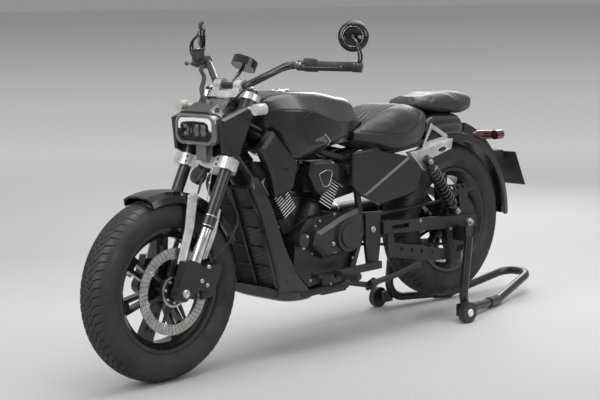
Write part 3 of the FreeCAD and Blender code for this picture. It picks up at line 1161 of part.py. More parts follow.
def make_bodywork():
    """Tank, seats, tail and the covers along the sides."""
    tank_shares = (
        (0.0, 0.2, 0.4, 0.36, 0.34, 0.34, 0.28, 0.2, 0.24),
        (0.09, 0.33, 0.62, 0.5, 0.44, 0.47, 0.26, 0.33, 0.2),
        (0.162, 0.42, 0.79, 0.62, 0.48, 0.58, 0.25, 0.42, 0.17),
        (0.306, 0.55, 0.87, 0.82, 0.5, 0.78, 0.28, 0.55, 0.16),
        (0.468, 0.62, 0.945, 0.95, 0.54, 0.94, 0.25, 0.7, 0.13),
        (0.63, 0.64, 0.985, 1.0, 0.68, 0.98, 0.2, 0.74, 0.03),
        (0.755, 0.62, 1.0, 0.98, 0.74, 0.94, 0.24, 0.7, 0.0),
        (0.872, 0.56, 0.99, 0.86, 0.76, 0.82, 0.4, 0.6, 0.12),
        (0.95, 0.44, 0.94, 0.66, 0.75, 0.62, 0.5, 0.44, 0.3),
        (1.0, 0.28, 0.86, 0.42, 0.74, 0.4, 0.58, 0.28, 0.48))
    tank = feature("TankShell", Part.makeLoft([tank_ring(row) for row in tank_shares], True, False))
    cap = cylinder("TankCap", s.cap_radius, s.cap_height * 3, s.tank_rear + s.tank_length * 0.72, 0,
                   s.tank_base + s.tank_tall - s.cap_height * 2)
    node(fuse("FuelTank", [tank, cap]), "fuel_tank")
    seat_shares = (
        (0.0, 0.5, 0.45, 0.8), (0.05, 0.7, 0.3, 0.87), (0.18, 0.86, 0.1, 0.945),
        (0.3, 0.94, 0.03, 0.99), (0.45, 0.99, 0.0, 0.99), (0.575, 0.98, 0.03, 0.92),
        (0.72, 0.93, 0.15, 0.79), (0.87, 0.87, 0.26, 0.655), (1.0, 0.8, 0.35, 0.64))
    node(pod("RiderSeat", s.seat_rear, s.seat_length, s.seat_base, s.seat_tall, s.seat_width,
             seat_shares, 0.5), "rider_seat")
    pillion_shares = (
        (0.0, 0.45, 0.42, 0.66), (0.05, 0.68, 0.26, 0.82), (0.2, 0.9, 0.05, 0.955),
        (0.42, 1.0, 0.1, 1.0), (0.62, 1.0, 0.2, 1.0), (0.8, 0.97, 0.34, 0.9),
        (0.93, 0.85, 0.44, 0.82), (1.0, 0.6, 0.5, 0.64))
    node(pod("PillionSeat", s.pillion_rear, s.pillion_length, s.pillion_base, s.pillion_tall,
             s.pillion_width, pillion_shares), "pillion_seat")
    tail_shares = ((0.0, 0.8, 0.2, 0.66), (0.1, 0.9, 0.22, 0.86), (0.45, 1.0, 0.24, 0.96),
                   (0.8, 1.0, 0.12, 0.98), (1.0, 0.9, 0.0, 0.7))
    node(pod("TailCowl", s.tail_rear, s.tail_length, s.tail_base, s.tail_tall, s.tail_width,
             tail_shares, 0.45), "tail_cowl")
    whole_shares = ((0.0, 0.455), (0.12, 0.117), (0.6, 0.0), (0.866, 0.21), (1.0, 0.42),
                    (0.98, 0.96), (0.71, 0.99), (0.207, 0.79))
    lower_shares = ((0.0, 0.455), (0.12, 0.117), (0.6, 0.0), (0.866, 0.21), (0.207, 0.79))
    side_plates("side_covers", "SideCover",
                (s.cover_x, s.cover_z, s.cover_run, s.cover_rise), whole_shares, s.cover_side,
                s.cover_thickness * 0.7, s.seat_rail_side, (0.86, 0.5), lower_shares)
    side_plates("front_covers", "FrontCover",
                (s.nose_x, s.nose_z, s.nose_run, s.nose_rise), (
                    (1.0, 0.77), (0.66, 1.0), (0.0, 0.48), (0.14, 0.09), (0.44, 0.02),
                    (0.63, 0.0), (0.73, 0.34)), s.nose_side, s.nose_thickness, s.stem_radius,
                NOSE_PIN_SHARES)
    hole_shares = (((0.55, 0.44), (0.6, 0.54), (0.68, 0.5), (0.69, 0.42), (0.63, 0.34),
                    (0.57, 0.36)),
                   ((0.14, 0.7), (0.2, 0.76), (0.32, 0.7), (0.34, 0.62), (0.26, 0.58),
                    (0.16, 0.63)))
    side_plates("subframe_castings", "Casting",
                (s.cast_x, s.cast_z, s.cast_run, s.cast_rise), (
                    (1.0, 0.7), (0.74, 0.75), (0.0, 1.0), (0.03, 0.65), (0.46, 0.42),
                    (0.63, 0.0), (0.7, 0.05)), s.cast_side, s.cast_thickness, s.seat_rail_side,
                (0.5, 0.82), hole_shares=hole_shares, brace=True, bevel_share=0.08)


def side_plates(label, name, frame_box, corner_shares, side, thickness, pin_root, pin_share,
                raised_shares=(), hole_shares=(), brace=False, bevel_share=0.25):
    """A pair of bevelled plates from one outline, given as shares of its box in side view.

    A pin from each one reaches in to the frame's rail. A second outline stands further out.
    """
    x, z, run, rise = frame_box
    solids = []
    holes = [scaled(*frame_box, row) for row in hole_shares]
    for i, sign in enumerate((1, -1)):
        panel = plate(f"{name}{i}", scaled(*frame_box, corner_shares), thickness,
                      thickness * bevel_share, sign, holes)
        solids.append(put(panel, 0, sign * (side + thickness / 2), 0))
        if raised_shares:
            depth = thickness / 0.7
            panel = plate(f"{name}Raised{i}", scaled(*frame_box, raised_shares), depth,
                          depth * 0.35, sign)
            solids.append(put(panel, 0, sign * (side + depth / 2), 0))
        if brace:
            bar = pad(f"{name}Brace{i}", "XZ", scaled(*frame_box, (
                (0.63, 0.78), (0.42, 1.58), (0.04, 1.12), (0.04, 0.96))), s.brace_thickness,
                [scaled(*frame_box, ((0.55, 0.95), (0.41, 1.4), (0.14, 1.08)))])
            solids.append(put(bar, 0, sign * (side + s.brace_thickness / 2), 0))
    for i, (low_y, high_y) in enumerate(((pin_root, side), (-side, -pin_root))):
        solids.append(cylinder(f"{name}Pin{i}", s.rail_radius * 0.6, high_y - low_y,
                               x + run * pin_share[0], low_y, z + rise * pin_share[1], "y"))
    node(fuse(name + "Pair", solids), label)
    carve(label, "frame")


def make_rear_end():
    """Swing arm, shocks, axle, guard, plate and lamps."""
    low = s.rear_axle_height
    arms = []
    for i, side in enumerate((1, -1)):
        arm = pad(f"Arm{i}", "XZ", [
            (s.rear_axle_x - s.arm_tail, low - s.arm_tall * 0.5),
            (s.rear_axle_x - s.arm_tail, low + s.arm_tall * 0.5),
            (s.arm_front_x, s.pivot_height + s.arm_tall * 0.5),
            (s.arm_front_x, s.pivot_height - s.arm_tall * 0.5)], s.arm_width)
        put(arm, 0, side * (s.arm_side + s.arm_width / 2), 0)
        bore = cylinder(f"ArmBore{i}", s.axle_radius + s.shroud_gap / 2, s.arm_width * 2,
                        s.rear_axle_x, side * s.arm_side - (0 if side > 0 else s.arm_width * 2),
                        low, "y")
        lug = pad(f"ShockLug{i}", "XZ", [
            (s.shock_low_x - s.shock_eye * 2, low + s.arm_tall * 0.4),
            (s.shock_low_x - s.shock_eye, s.shock_low_height + s.shock_eye),
            (s.shock_low_x + s.shock_eye, s.shock_low_height + s.shock_eye),
            (s.shock_low_x + s.shock_eye * 2, low + s.arm_tall * 0.4)], s.lug_thickness)
        put(lug, 0, side * (s.shock_side - s.shock_eye - s.lug_thickness / 2 - s.shroud_gap), 0)
        cheek = pad(f"ArmCheek{i}", "XZ", [
            (s.arm_front_x - s.arm_cheek, s.pivot_height - s.arm_tall * 0.4),
            (s.arm_front_x - s.arm_cheek, s.pivot_height + s.arm_tall * 0.4),
            (s.pivot_x, s.pivot_height + s.arm_tall * 0.4),
            (s.pivot_x, s.pivot_height - s.arm_tall * 0.4)], s.cheek_width)
        put(cheek, 0, side * (s.arm_side - s.cheek_width / 2), 0)
        slot = box(f"ArmSlot{i}", s.slot_length, s.arm_width * 2, s.slot_tall, s.slot_x,
                   side * (s.arm_side + s.arm_width / 2), s.slot_height)
        arms.append(cut(f"ArmCut{i}", fuse(f"ArmSolid{i}", [arm, lug, cheek]), [bore, slot]))
    face = s.cradle_side + s.rail_radius * 0.5
    cross = cylinder("PivotTube", s.arm_tall * 0.4, face * 2, s.pivot_x, -face,
                     s.pivot_height, "y")
    node(fuse("SwingArm", [*arms, cross, *belt_guards()]), "swingarm")

    run = s.shock_top_x - s.shock_low_x
    rise = s.shock_top_height - s.shock_low_height
    length = Size(math.hypot(float(run), float(rise)), f"sqrt({text(run)}^2 + {text(rise)}^2)")
    angle = math.degrees(math.atan2(float(run), float(rise)))
    shocks = []
    for i, side in enumerate((1, -1)):
        r = s.spring_radius
        start = s.shock_eye * 2.6
        coil = (length - start * 2) / VALUES["spring_turns"]
        outline = [(0, start)]
        for turn in range(VALUES["spring_turns"]):
            foot = start + coil * turn
            outline += [(r * 0.72, foot), (r, foot + coil * 0.3), (r, foot + coil * 0.55),
                        (r * 0.72, foot + coil * 0.85)]
        outline += [(0, start + coil * VALUES["spring_turns"])]
        body = add("PartDesign::Body", f"Spring{i}")
        drawing = sketch(body, f"Spring{i}Sketch", "XZ", outline)
        turn_body = body.newObject("PartDesign::Revolution", f"Spring{i}Turn")
        turn_body.Profile = drawing
        turn_body.ReferenceAxis = (next(item for item in body.Origin.OriginFeatures
                                        if item.Role == "Z_Axis"), [""])
        rod = cylinder(f"ShockRod{i}", s.shock_eye * 0.8, length, 0, 0, 0)
        eyes = [cylinder(f"ShockEye{i}{j}", s.shock_eye, s.shock_eye * 2, 0, -s.shock_eye, z, "y")
                for j, z in enumerate((0, length))]
        whole = fuse(f"Shock{i}", [body, rod, *eyes])
        put(whole, s.shock_low_x, side * s.shock_side, s.shock_low_height,
            Rotation(Vector(0, 1, 0), angle))
        shocks.append(whole)
    node(fuse("Shocks", shocks), "shock_absorbers")

    reach = s.arm_side + s.arm_width
    bar = cylinder("RearAxleBar", s.axle_radius, reach * 2 + s.axle_nut_length * 2,
                   y=-(reach + s.axle_nut_length), along="y")
    nuts = [cylinder(f"RearNut{i}", s.axle_nut_radius, s.axle_nut_length,
                     y=place, along="y") for i, place in enumerate(
                         (reach, -(reach + s.axle_nut_length)))]
    left = s.pulley_side + s.pulley_width / 2 + s.axle_fit
    right = s.rear_disc_side + s.disc_thickness + s.axle_fit
    spacers = [cylinder("RearSpacer0", s.axle_nut_radius, s.arm_side - left, y=left, along="y"),
               cylinder("RearSpacer1", s.axle_nut_radius, s.arm_side - right, y=-s.arm_side,
                        along="y")]
    node(fuse("RearAxle", [bar, *nuts, *spacers]), "rear_axle", s.rear_axle_x, 0, low)

    radius, thick = number(s.rear_radius + s.guard_gap), number(s.guard_thickness)
    half, drop = number(s.guard_width / 2), number(s.guard_drop)
    outer = [Vector(0, half * a, radius + thick + drop * b) for a, b in
             ((-1, -1), (-0.92, -0.3), (-0.5, 0), (0.5, 0), (0.92, -0.3), (1, -1))]
    inner = [Vector(0, (half - thick) * a, radius + drop * b) for a, b in
             ((-1, -1), (-0.92, -0.3), (-0.5, 0), (0.5, 0), (0.92, -0.3), (1, -1))]
    section = Part.Face(Part.makePolygon(outer + inner[::-1] + [outer[0]]))
    section.rotate(Vector(), Vector(0, 1, 0), number(s.guard_start))
    guard = section.revolve(Vector(), Vector(0, -1, 0), number(s.guard_start + s.guard_end))
    node(feature("RearFender", guard), "rear_fender", s.rear_axle_x, 0, low)

    ring = [vector(0, side * s.carrier_width / 2, s.rear_radius + s.guard_gap + height)
            for side, height in ((-1, s.guard_thickness + s.bead_fit), (1, s.guard_thickness + s.bead_fit),
                                 (1, s.carrier_height), (-1, s.carrier_height))]
    face = Part.Face(Part.makePolygon(ring + ring[:1]))
    face.rotate(Vector(), Vector(0, 1, 0), -number(s.carrier_start))
    back = put(feature("PlateCarrier", face.revolve(Vector(), Vector(0, -1, 0),
                                                    number(s.carrier_sweep))), 0, 0, 0)
    plate = box("Plate", s.plate_thickness, s.plate_width, s.plate_tall)
    put(plate, s.plate_x - s.rear_axle_x, -(s.plate_width / 2), s.plate_z - s.rear_axle_height,
        Rotation(Vector(0, 1, 0), VALUES["plate_tilt"]))
    slope = sine(s.plate_tilt) / cosine(s.plate_tilt)
    low_x, low_z = s.plate_x + s.plate_tall * 0.65 * slope, s.plate_z + s.plate_tall * 0.65 - low
    arm = pad("PlateArm", "XZ", [
        (low_x, low_z), (low_x + s.plate_arm, low_z),
        (low_x + s.plate_arm, low_z + s.carrier_height),
        (low_x + s.carrier_height * slope, low_z + s.carrier_height)], s.carrier_width)
    node(fuse("NumberPlate", [plate, back, arm]), "number_plate", s.rear_axle_x, 0, low)
    lamp_shares = ((0.0, 0.6, 0.1, 0.5), (0.08, 0.85, 0.02, 0.7), (0.5, 1.0, 0.0, 1.0),
                   (0.9, 0.85, 0.32, 0.98), (1.0, 0.6, 0.56, 0.84))
    lights = [pod("TailLamp", s.tail_lamp_x, s.tail_lamp_depth, s.tail_lamp_z, s.tail_lamp_tall,
                  s.tail_lamp_width, lamp_shares, 0.4)]
    blinker_x = s.tail_lamp_x + s.tail_lamp_depth * 0.3
    blinker_z = s.tail_lamp_z + s.tail_lamp_tall / 2
    for i, side in enumerate((1, -1)):
        lights.append(cylinder(f"RearBlinker{i}", s.blinker_radius, s.blinker_length,
                               blinker_x - s.blinker_length / 2, side * s.rear_blinker_side,
                               blinker_z, "x"))
        low_y = 0 if side > 0 else -s.rear_blinker_side
        lights.append(cylinder(f"RearBlinkerStem{i}", s.blinker_stem, s.rear_blinker_side,
                               blinker_x, low_y, blinker_z, "y"))
    node(fuse("TailLights", lights), "tail_lights")
    carve("tail_lights", "number_plate")
    carve("tail_lights", "rear_fender")


def belt_guards():
    """The belt's upper and lower guards on the left arm."""
    frame_box = (s.low_guard_x, s.low_guard_z, s.low_guard_run, s.low_guard_rise)
    low_shares = ((1.0, 1.0), (0.925, 1.0), (0.914, 0.76), (0.55, 0.56), (0.196, 0.36),
                  (0.188, 0.91), (0.117, 0.91), (0.108, 0.3), (0.0, 0.2), (0.0, 0.018),
                  (0.55, 0.2), (1.0, 0.455))
    sheet_body = pad("LowGuardSheet", "XZ", scaled(*frame_box, low_shares), s.guard_thickness)
    outside = s.arm_side + s.arm_width
    put(sheet_body, 0, outside + s.guard_thickness * 0.4, 0)
    holes = [cylinder(f"LowGuardHole{i}", s.guard_hole, s.guard_thickness * 2,
                      frame_box[0] + frame_box[2] * along, outside - s.guard_thickness,
                      frame_box[1] + frame_box[3] * up, "y")
             for i, (along, up) in enumerate(((0.819, 0.58), (0.684, 0.51), (0.55, 0.43),
                                              (0.416, 0.36)))]
    frame_box = (s.top_guard_x, s.top_guard_z, s.top_guard_run, s.top_guard_rise)
    slots = [scaled(*frame_box, ((a, 0.82), (a + 0.08, 0.93), (a + 0.14, 0.93), (a + 0.06, 0.82)))
             for a in (0.3, 0.46, 0.62, 0.78)]
    top_shares = ((1.0, 1.0), (0.0, 0.915), (0.24, 0.75), (0.36, 0.7), (0.4, 0.0), (0.59, 0.0),
                  (0.66, 0.7), (0.93, 0.8))
    top = pad("TopGuard", "XZ", scaled(*frame_box, top_shares), s.guard_thickness, slots)
    put(top, 0, s.arm_side + s.guard_thickness / 2, 0)
    return [cut("LowGuard", sheet_body, holes), top]


def belt_ring(span, extra):
    """A loop about both pulleys, the given distance out: two straight runs and two arcs."""
    big, small = number(s.pulley_radius), number(s.front_pulley_radius)
    rise = number(s.front_pulley_height - s.rear_axle_height)
    slope = math.atan2(rise, number(span))
    lift = math.asin((big - small) / math.hypot(number(span), rise))
    one, two = Vector(0, 0, 0), Vector(number(span), 0, rise)
    up, down = slope + math.pi / 2 - lift, slope - math.pi / 2 + lift
    big, small = big + number(extra), small + number(extra)

    def spot(centre, radius, angle):
        return centre + Vector(math.cos(angle), 0, math.sin(angle)) * radius

    return Part.Wire([
        Part.makeLine(spot(one, big, up), spot(two, small, up)),
        Part.Arc(spot(two, small, up), spot(two, small, slope), spot(two, small, down)).toShape(),
        Part.makeLine(spot(two, small, down), spot(one, big, down)),
        Part.Arc(spot(one, big, down), spot(one, big, slope + math.pi),
                 spot(one, big, up)).toShape()])


def make_belt():
    """The drive belt, and the room that the engine's cover leaves for it."""
    span = s.front_pulley_x - s.rear_axle_x
    place = (s.rear_axle_x, s.pulley_side - s.belt_width / 2, s.rear_axle_height)
    outer = Part.Face(belt_ring(span, s.belt_thickness))
    inner = Part.Face(belt_ring(span, s.belt_fit))
    belt = outer.cut(inner).extrude(Vector(0, number(s.belt_width), 0))
    node(feature("Belt", belt), "drive_belt", *place)
    room = Part.Face(belt_ring(span, s.belt_thickness + s.belt_room)).extrude(
        Vector(0, number(s.belt_width + s.belt_room * 2), 0))
    tunnel = put(feature("BeltRoom", room), place[0] - s_origin, place[1] - s.belt_room, place[2])
    case = next(item for item in nodes if item.Label == "crankcase")
    open_case = cut("OpenCase", case, [tunnel])
    nodes[nodes.index(case)] = open_case
    case.Label = "crankcase_uncut"
    open_case.Label = "crankcase"
    rails = next(item for item in nodes if item.Label == "frame")
    open_rails = cut("OpenRails", rails, [tunnel])
    nodes[nodes.index(rails)] = open_rails
    rails.Label = "frame_uncut"
    open_rails.Label = "frame"


def make_exhaust():
    """Two headers joined under the engine and a pair of stacked mufflers on the right."""
    out = number(s.pipe_side)
    front = leaned(s.front_lean, s.head_length / 2, 0,
                   s.fin_start + s.fin_pitch * s.front_fins + s.head_height * 0.15)
    rear = leaned(-s.rear_lean, 0, 0,
                  s.fin_start + s.fin_pitch * s.rear_fins + s.head_height / 2)
    pipes = [
        tube([vector(front[0], -s.pipe_radius, front[2]),
              vector(front[0] - s.pipe_radius * 0.2, -s.pipe_radius * 1.2, s.header_bend),
              vector(s.header_x, -s.header_side, s.header_low),
              vector(s.header_x, -s.header_out, s.pipe_low),
              vector(s.header_rear_x, -s.pipe_side, s.pipe_low),
              vector(s.muffler_front, -out, s.pipe_low)], s.pipe_radius, s.tube_bend),
        tube([vector(rear[0], -(s.head_width * 0.42), rear[2]),
              vector(rear[0] + s.pipe_radius * 0.8, -s.rear_header_side, s.rear_header_top),
              vector(s.rear_header_x, -s.rear_header_out, s.rear_header_height),
              vector(s.muffler_front + s.pipe_radius * 4, -out, s.muffler_height),
              vector(s.muffler_front, -out, s.muffler_height)], s.pipe_radius, s.tube_bend)]
    for z in (s.pipe_low, s.muffler_height):
        shell = Part.makeCylinder(number(s.muffler_radius), number(s.muffler_length),
                                  vector(s.muffler_front - s.muffler_length, -out, z),
                                  Vector(1, 0, 0))
        bore = Part.makeCylinder(number(s.pipe_radius), number(s.muffler_length * 0.2),
                                 vector(s.muffler_front - s.muffler_length, -out, z),
                                 Vector(1, 0, 0))
        pipes.append(shell.cut(bore))
    node(feature("Exhaust", pipes[0].multiFuse(pipes[1:])), "exhaust")
    carve("exhaust", "cylinders", "head_covers")


def make_foot_controls():
    """Pegs on their brackets, the gear lever and the brake pedal."""
    face = s.cradle_side + s.rail_radius * 0.5 + s.pivot_plate
    root = s.peg_side
    parts = []
    for i, side in enumerate((1, -1)):
        low = root if side > 0 else -(root + s.peg_reach)
        foot = root + s.peg_radius - face
        parts.append(cylinder(f"PegBar{i}", s.peg_radius * 0.8, foot, s.pivot_x,
                              face if side > 0 else -(face + foot), s.peg_height, "y"))
        arm = pad(f"PegArm{i}", "XZ", [
            (s.pivot_x - s.peg_radius, s.peg_height - s.peg_radius),
            (s.peg_x + s.peg_radius, s.peg_height - s.peg_radius),
            (s.peg_x + s.peg_radius, s.peg_height + s.peg_radius),
            (s.pivot_x - s.peg_radius, s.peg_height + s.peg_radius)], s.peg_radius)
        put(arm, 0, side * (root + s.peg_radius), 0)
        parts.append(arm)
        parts.append(cylinder(f"Peg{i}", s.peg_radius, s.peg_length, s.peg_x,
                              root + s.peg_reach if side > 0
                              else -(root + s.peg_reach + s.peg_length), s.peg_height, "y"))
        parts.append(cylinder(f"PegRoot{i}", s.peg_radius * 0.6, s.peg_reach, s.peg_x, low,
                              s.peg_height, "y"))
        toe = s.peg_x + s.lever_run
        parts.append(cylinder(f"Toe{i}", s.peg_radius * 0.6, s.peg_reach, toe,
                              root if side > 0 else -(root + s.peg_reach),
                              s.peg_height + s.peg_radius * 0.5, "y"))
        rod = pad(f"LeverArm{i}", "XZ", [
            (s.peg_x, s.peg_height), (toe, s.peg_height), (toe, s.peg_height + s.peg_radius),
            (s.peg_x, s.peg_height + s.peg_radius)], s.peg_radius * 0.6)
        put(rod, 0, side * (root + s.peg_radius), 0)
        parts.append(rod)
    node(fuse("FootControls", parts), "foot_controls")


def make_stands():
    """The folded side stand, and the paddock stand with its rollers."""
    leg = number(s.side_leg_radius)
    axis, gap = hinge_axis(), number(s.axle_fit)
    eye = Part.makeCylinder(number(s.side_pin_radius * 2), leg * 2, axis * gap, axis)
    bolt = Part.makeCylinder(number(s.side_pin_radius), number(s.side_pin_length) + gap,
                             axis * -number(s.side_pin_length), axis)
    start = axis * (gap + leg)
    foot = vector(s.side_foot_x - s.side_hinge_x, s.side_foot_side, s.side_foot_z - s.side_hinge_z)
    bar = tube([start, foot * 0.5 + Vector(0, leg, 0), foot], leg, s.tube_bend)
    sole = Part.makeBox(number(s.foot_length), number(s.foot_thickness), number(s.foot_width),
                        foot - Vector(number(s.foot_length / 2), 0, number(s.foot_width / 2)))
    node(feature("SideStand", bar.multiFuse([eye, bolt, sole])), "side_stand", s.side_hinge_x,
         s.side_hinge_y, s.side_hinge_z)

    upright = [vector(s.stand_top_x, s.stand_side, s.stand_top),
               vector(s.stand_foot_x, s.stand_side, s.stand_foot_height),
               vector(s.sleeve_x, s.sleeve_side, s.stand_radius + s.sleeve_wall),
               vector(s.loop_x, s.loop_side, s.loop_height)]
    loop = upright + mirrored_points(upright)[::-1]
    frame = tube(loop, s.stand_radius, s.stand_bend)
    parts = []
    for sign in (1, -1):
        a = Vector(upright[1].x, sign * upright[1].y, upright[1].z)
        b = Vector(upright[2].x, sign * upright[2].y, upright[2].z)
        along = (b - a).normalize()
        parts.append(Part.makeCylinder(number(s.stand_radius + s.sleeve_wall),
                                       number(s.sleeve_length),
                                       b - along * number(s.sleeve_length), along))
        cup_low = number(s.arm_side) if sign > 0 else -number(s.stand_side)
        parts.append(Part.makeBox(number(s.stand_radius * 2), number(s.stand_side - s.arm_side),
                                  number(s.stand_cup), vector(s.stand_top_x - s.stand_radius,
                                                              cup_low, s.stand_top - s.stand_radius)))
        parts.append(Part.makeBox(
            number(s.roller_plate * 3), number(s.roller_plate / 2), number(s.roller_plate * 2.4),
            vector(s.roller_x - s.roller_plate * 2.2, sign * s.stand_side - s.roller_plate / 4,
                   s.roller_radius - s.roller_plate * 0.9)))
        parts.append(Part.makeCylinder(number(s.roller_pin), number(s.roller_reach),
                                       vector(s.roller_x, s.stand_side if sign > 0
                                              else -(s.stand_side + s.roller_reach),
                                              s.roller_radius), Vector(0, 1, 0)))
    node(feature("PaddockStand", frame.multiFuse(parts)), "paddock_stand")
    carve("paddock_stand", "swingarm")
    for i, (side, label) in enumerate(((1, "stand_roller_left"), (-1, "stand_roller_right"))):
        low = s.roller_side if side > 0 else -(s.roller_side + s.roller_width)
        disc_body = cylinder(f"RollerBody{i}", s.roller_radius, s.roller_width, y=low, along="y")
        bore = cylinder(f"RollerBore{i}", s.roller_pin + s.stem_gap, s.roller_width, y=low,
                        along="y")
        node(cut(f"Roller{i}", disc_body, [bore]), label, s.roller_x, 0, s.roller_radius)


make_front_wheel()
make_rear_wheel()
make_fork()
make_front_axle()
make_handlebar()
make_front_fender()
make_headlight()
make_front_fittings()
caliper("FrontCaliper", s.disc_radius, s.front_disc_side, s.leg_spread - s.bracket_thickness / 2,
        s.front_caliper_angle, s.wheelbase, s.front_radius, "front_caliper")
caliper("RearCaliper", s.rear_disc_radius, -s.rear_disc_side, s.arm_side,
        s.rear_caliper_angle, s.rear_axle_x, s.rear_axle_height, "rear_caliper")
make_frame()
make_engine()
make_radiator()
make_bodywork()
make_rear_end()
make_belt()
make_foot_controls()
make_stands()
carve("crankcase", "frame")
carve("cylinders", "crankcase", "frame")
carve("head_covers", "frame", "cylinders")
carve("radiator_shroud", "frame", "head_covers", "radiator")
carve("radiator_shroud", "crankcase")
carve("front_covers", "fuel_tank", "radiator_shroud")
make_exhaust()
carve("radiator_shroud", "exhaust")
carve("handlebar", "fork_clamps")
carve("fuel_tank", "frame")
carve("rider_seat", "fuel_tank", "frame", "side_covers", "subframe_castings")
carve("tail_cowl", "rider_seat", "rear_fender", "frame", "subframe_castings")
carve("pillion_seat", "rider_seat", "tail_cowl")

doc.recompute()
failed = [item.Name for item in doc.Objects if {"Invalid", "Error"} & set(item.State)]
if failed:
    raise RuntimeError("objects that did not build: " + ", ".join(failed))
os.makedirs("parts", exist_ok=True)
for item in nodes:
    shape = item.Shape
    if shape.isNull() or not shape.isValid():
        raise RuntimeError(item.Label + " has no valid shape")
    if not shape.Solids:
        raise RuntimeError(item.Label + " has no solid")
    shape.exportStep(f"parts/{item.Label}.step")
    print(item.Label, len(shape.Solids), round(shape.Volume / 1000), "cm3")
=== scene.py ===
import logging
import math
from dataclasses import dataclass
from enum import Enum
from typing import Callable, Sequence

import bmesh
import bpy
from mathutils import Matrix, Vector


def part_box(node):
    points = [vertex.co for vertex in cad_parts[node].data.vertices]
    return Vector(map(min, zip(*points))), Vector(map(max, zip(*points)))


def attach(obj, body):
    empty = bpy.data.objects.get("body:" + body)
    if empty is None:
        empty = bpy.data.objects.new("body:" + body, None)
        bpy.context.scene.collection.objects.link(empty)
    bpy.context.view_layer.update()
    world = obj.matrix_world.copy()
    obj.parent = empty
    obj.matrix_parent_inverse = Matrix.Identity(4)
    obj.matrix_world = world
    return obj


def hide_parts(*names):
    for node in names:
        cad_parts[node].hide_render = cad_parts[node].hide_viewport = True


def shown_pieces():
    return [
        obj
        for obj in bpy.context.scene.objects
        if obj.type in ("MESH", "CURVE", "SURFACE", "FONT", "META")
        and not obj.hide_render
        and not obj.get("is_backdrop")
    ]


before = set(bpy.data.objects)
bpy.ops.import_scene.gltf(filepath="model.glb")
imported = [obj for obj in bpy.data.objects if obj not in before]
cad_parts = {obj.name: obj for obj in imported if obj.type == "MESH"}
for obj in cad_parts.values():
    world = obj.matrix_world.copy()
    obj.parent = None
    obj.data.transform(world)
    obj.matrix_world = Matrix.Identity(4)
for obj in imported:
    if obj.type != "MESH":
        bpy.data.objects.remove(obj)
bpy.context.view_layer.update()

Color = tuple[float, float, float]
Point = tuple[float, float, float]
Pair = tuple[float, float]
Socket = bpy.types.NodeSocket
log = logging.getLogger("cruiser")

# The part's frame starts under the middle of the whole, this far ahead of the rear axle.
REAR_AXLE = 0.6385
# The fork's own frame: how far it leans back, and its foot in millimetres ahead and up.
RAKE = math.radians(26.5)
FORK_FOOT = (1472.57, 296.35)
UP = Vector((0, 0, 1))
AHEAD = Vector((1, 0, 0))
LEFT = Vector((0, 1, 0))
# Places closer together than this are one, in metres.
SAME = 1e-6


def place(x: float, y: float, z: float) -> Vector:
    """A place in millimetres from the ground under the rear axle, in the part's frame."""
    return Vector((x / 1000 - REAR_AXLE, y / 1000, z / 1000))


class Relief(Enum):
    """The kinds of fine relief: what the height follows, its scale and its detail."""

    PAINT = ("noise", 900.0, 2.0)
    CAST = ("noise", 420.0, 6.0)
    GRAINED = ("cells", 700.0, 0.0)
    BRUSHED = ("noise", 260.0, 3.0)
    RUBBER = ("noise", 240.0, 5.0)
    HIDE = ("cells", 420.0, 0.0)


# Shares of a finish's own values: how coarse its smudges are beside its clouds of colour,
# and how far the smudges move its roughness either way.
SMUDGE_SHARE = 0.35
ROUGHNESS_SHARE = 0.35
COAT_ROUGHNESS = 0.08
# Noise is mostly between these two values, which is what ramps are spread over.
NOISE_LOW, NOISE_HIGH = 0.3, 0.7


@dataclass(frozen=True)
class Finish:
    """A surface finish, made as a node material the first time a piece is dressed with it.

    Colours are plain scene values. Lengths are metres. The colour varies in clouds of a
    scale, by a share either way. The relief has a depth, and edges are softened by a
    radius. A finish can be clear by a share, and bright on what lies further from the
    middle plane than a reach.
    """

    name: str
    color: Color
    roughness: float
    relief: Relief = Relief.PAINT
    metallic: float = 0.0
    variation: float = 0.25
    scale: float = 30.0
    depth: float = 0.00008
    edge: float = 0.0012
    coat: float = 0.0
    sheen: float = 0.0
    clear: float = 0.0
    bright: Color = (0.62, 0.62, 0.63)
    bright_from: float = 0.0

    def material(self) -> bpy.types.Material:
        """The finish's material, built once and kept by name."""
        known = bpy.data.materials.get("finish_" + self.name)
        return known or self._build()

    def _build(self) -> bpy.types.Material:
        """Make the node tree: colour, roughness and relief from noise on Object places."""
        made = bpy.data.materials.new("finish_" + self.name)
        made.use_nodes = True
        tree = Tree(made.node_tree)
        for name, value in (("Metallic", self.metallic), ("Coat Weight", self.coat),
                            ("Coat Roughness", COAT_ROUGHNESS), ("Sheen Weight", self.sheen),
                            ("Alpha", 1 - self.clear)):
            tree.shader.inputs[name].default_value = value
        dark = tuple(c * (1 - self.variation) for c in self.color)
        light = tuple(min(c * (1 + self.variation), 1.0) for c in self.color)
        color = tree.ramp(tree.noise(self.scale, 4.0), ((NOISE_LOW, dark), (NOISE_HIGH, light)))
        if self.bright_from > 0:
            color = tree.mix(tree.outside(self.bright_from), color, self.bright)
        smudge = tree.noise(self.scale * SMUDGE_SHARE, 3.0)
        rough = tree.spread(smudge, self.roughness * (1 - ROUGHNESS_SHARE),
                            self.roughness * (1 + ROUGHNESS_SHARE))
        kind, scale, detail = self.relief.value
        height = tree.noise(scale, detail) if kind == "noise" else tree.cells(scale)
        bumped = tree.bump(height, self.depth, tree.bevel(self.edge))
        for name, source in (("Base Color", color), ("Roughness", rough), ("Normal", bumped)):
            tree.link(source, tree.shader.inputs[name])
        return made


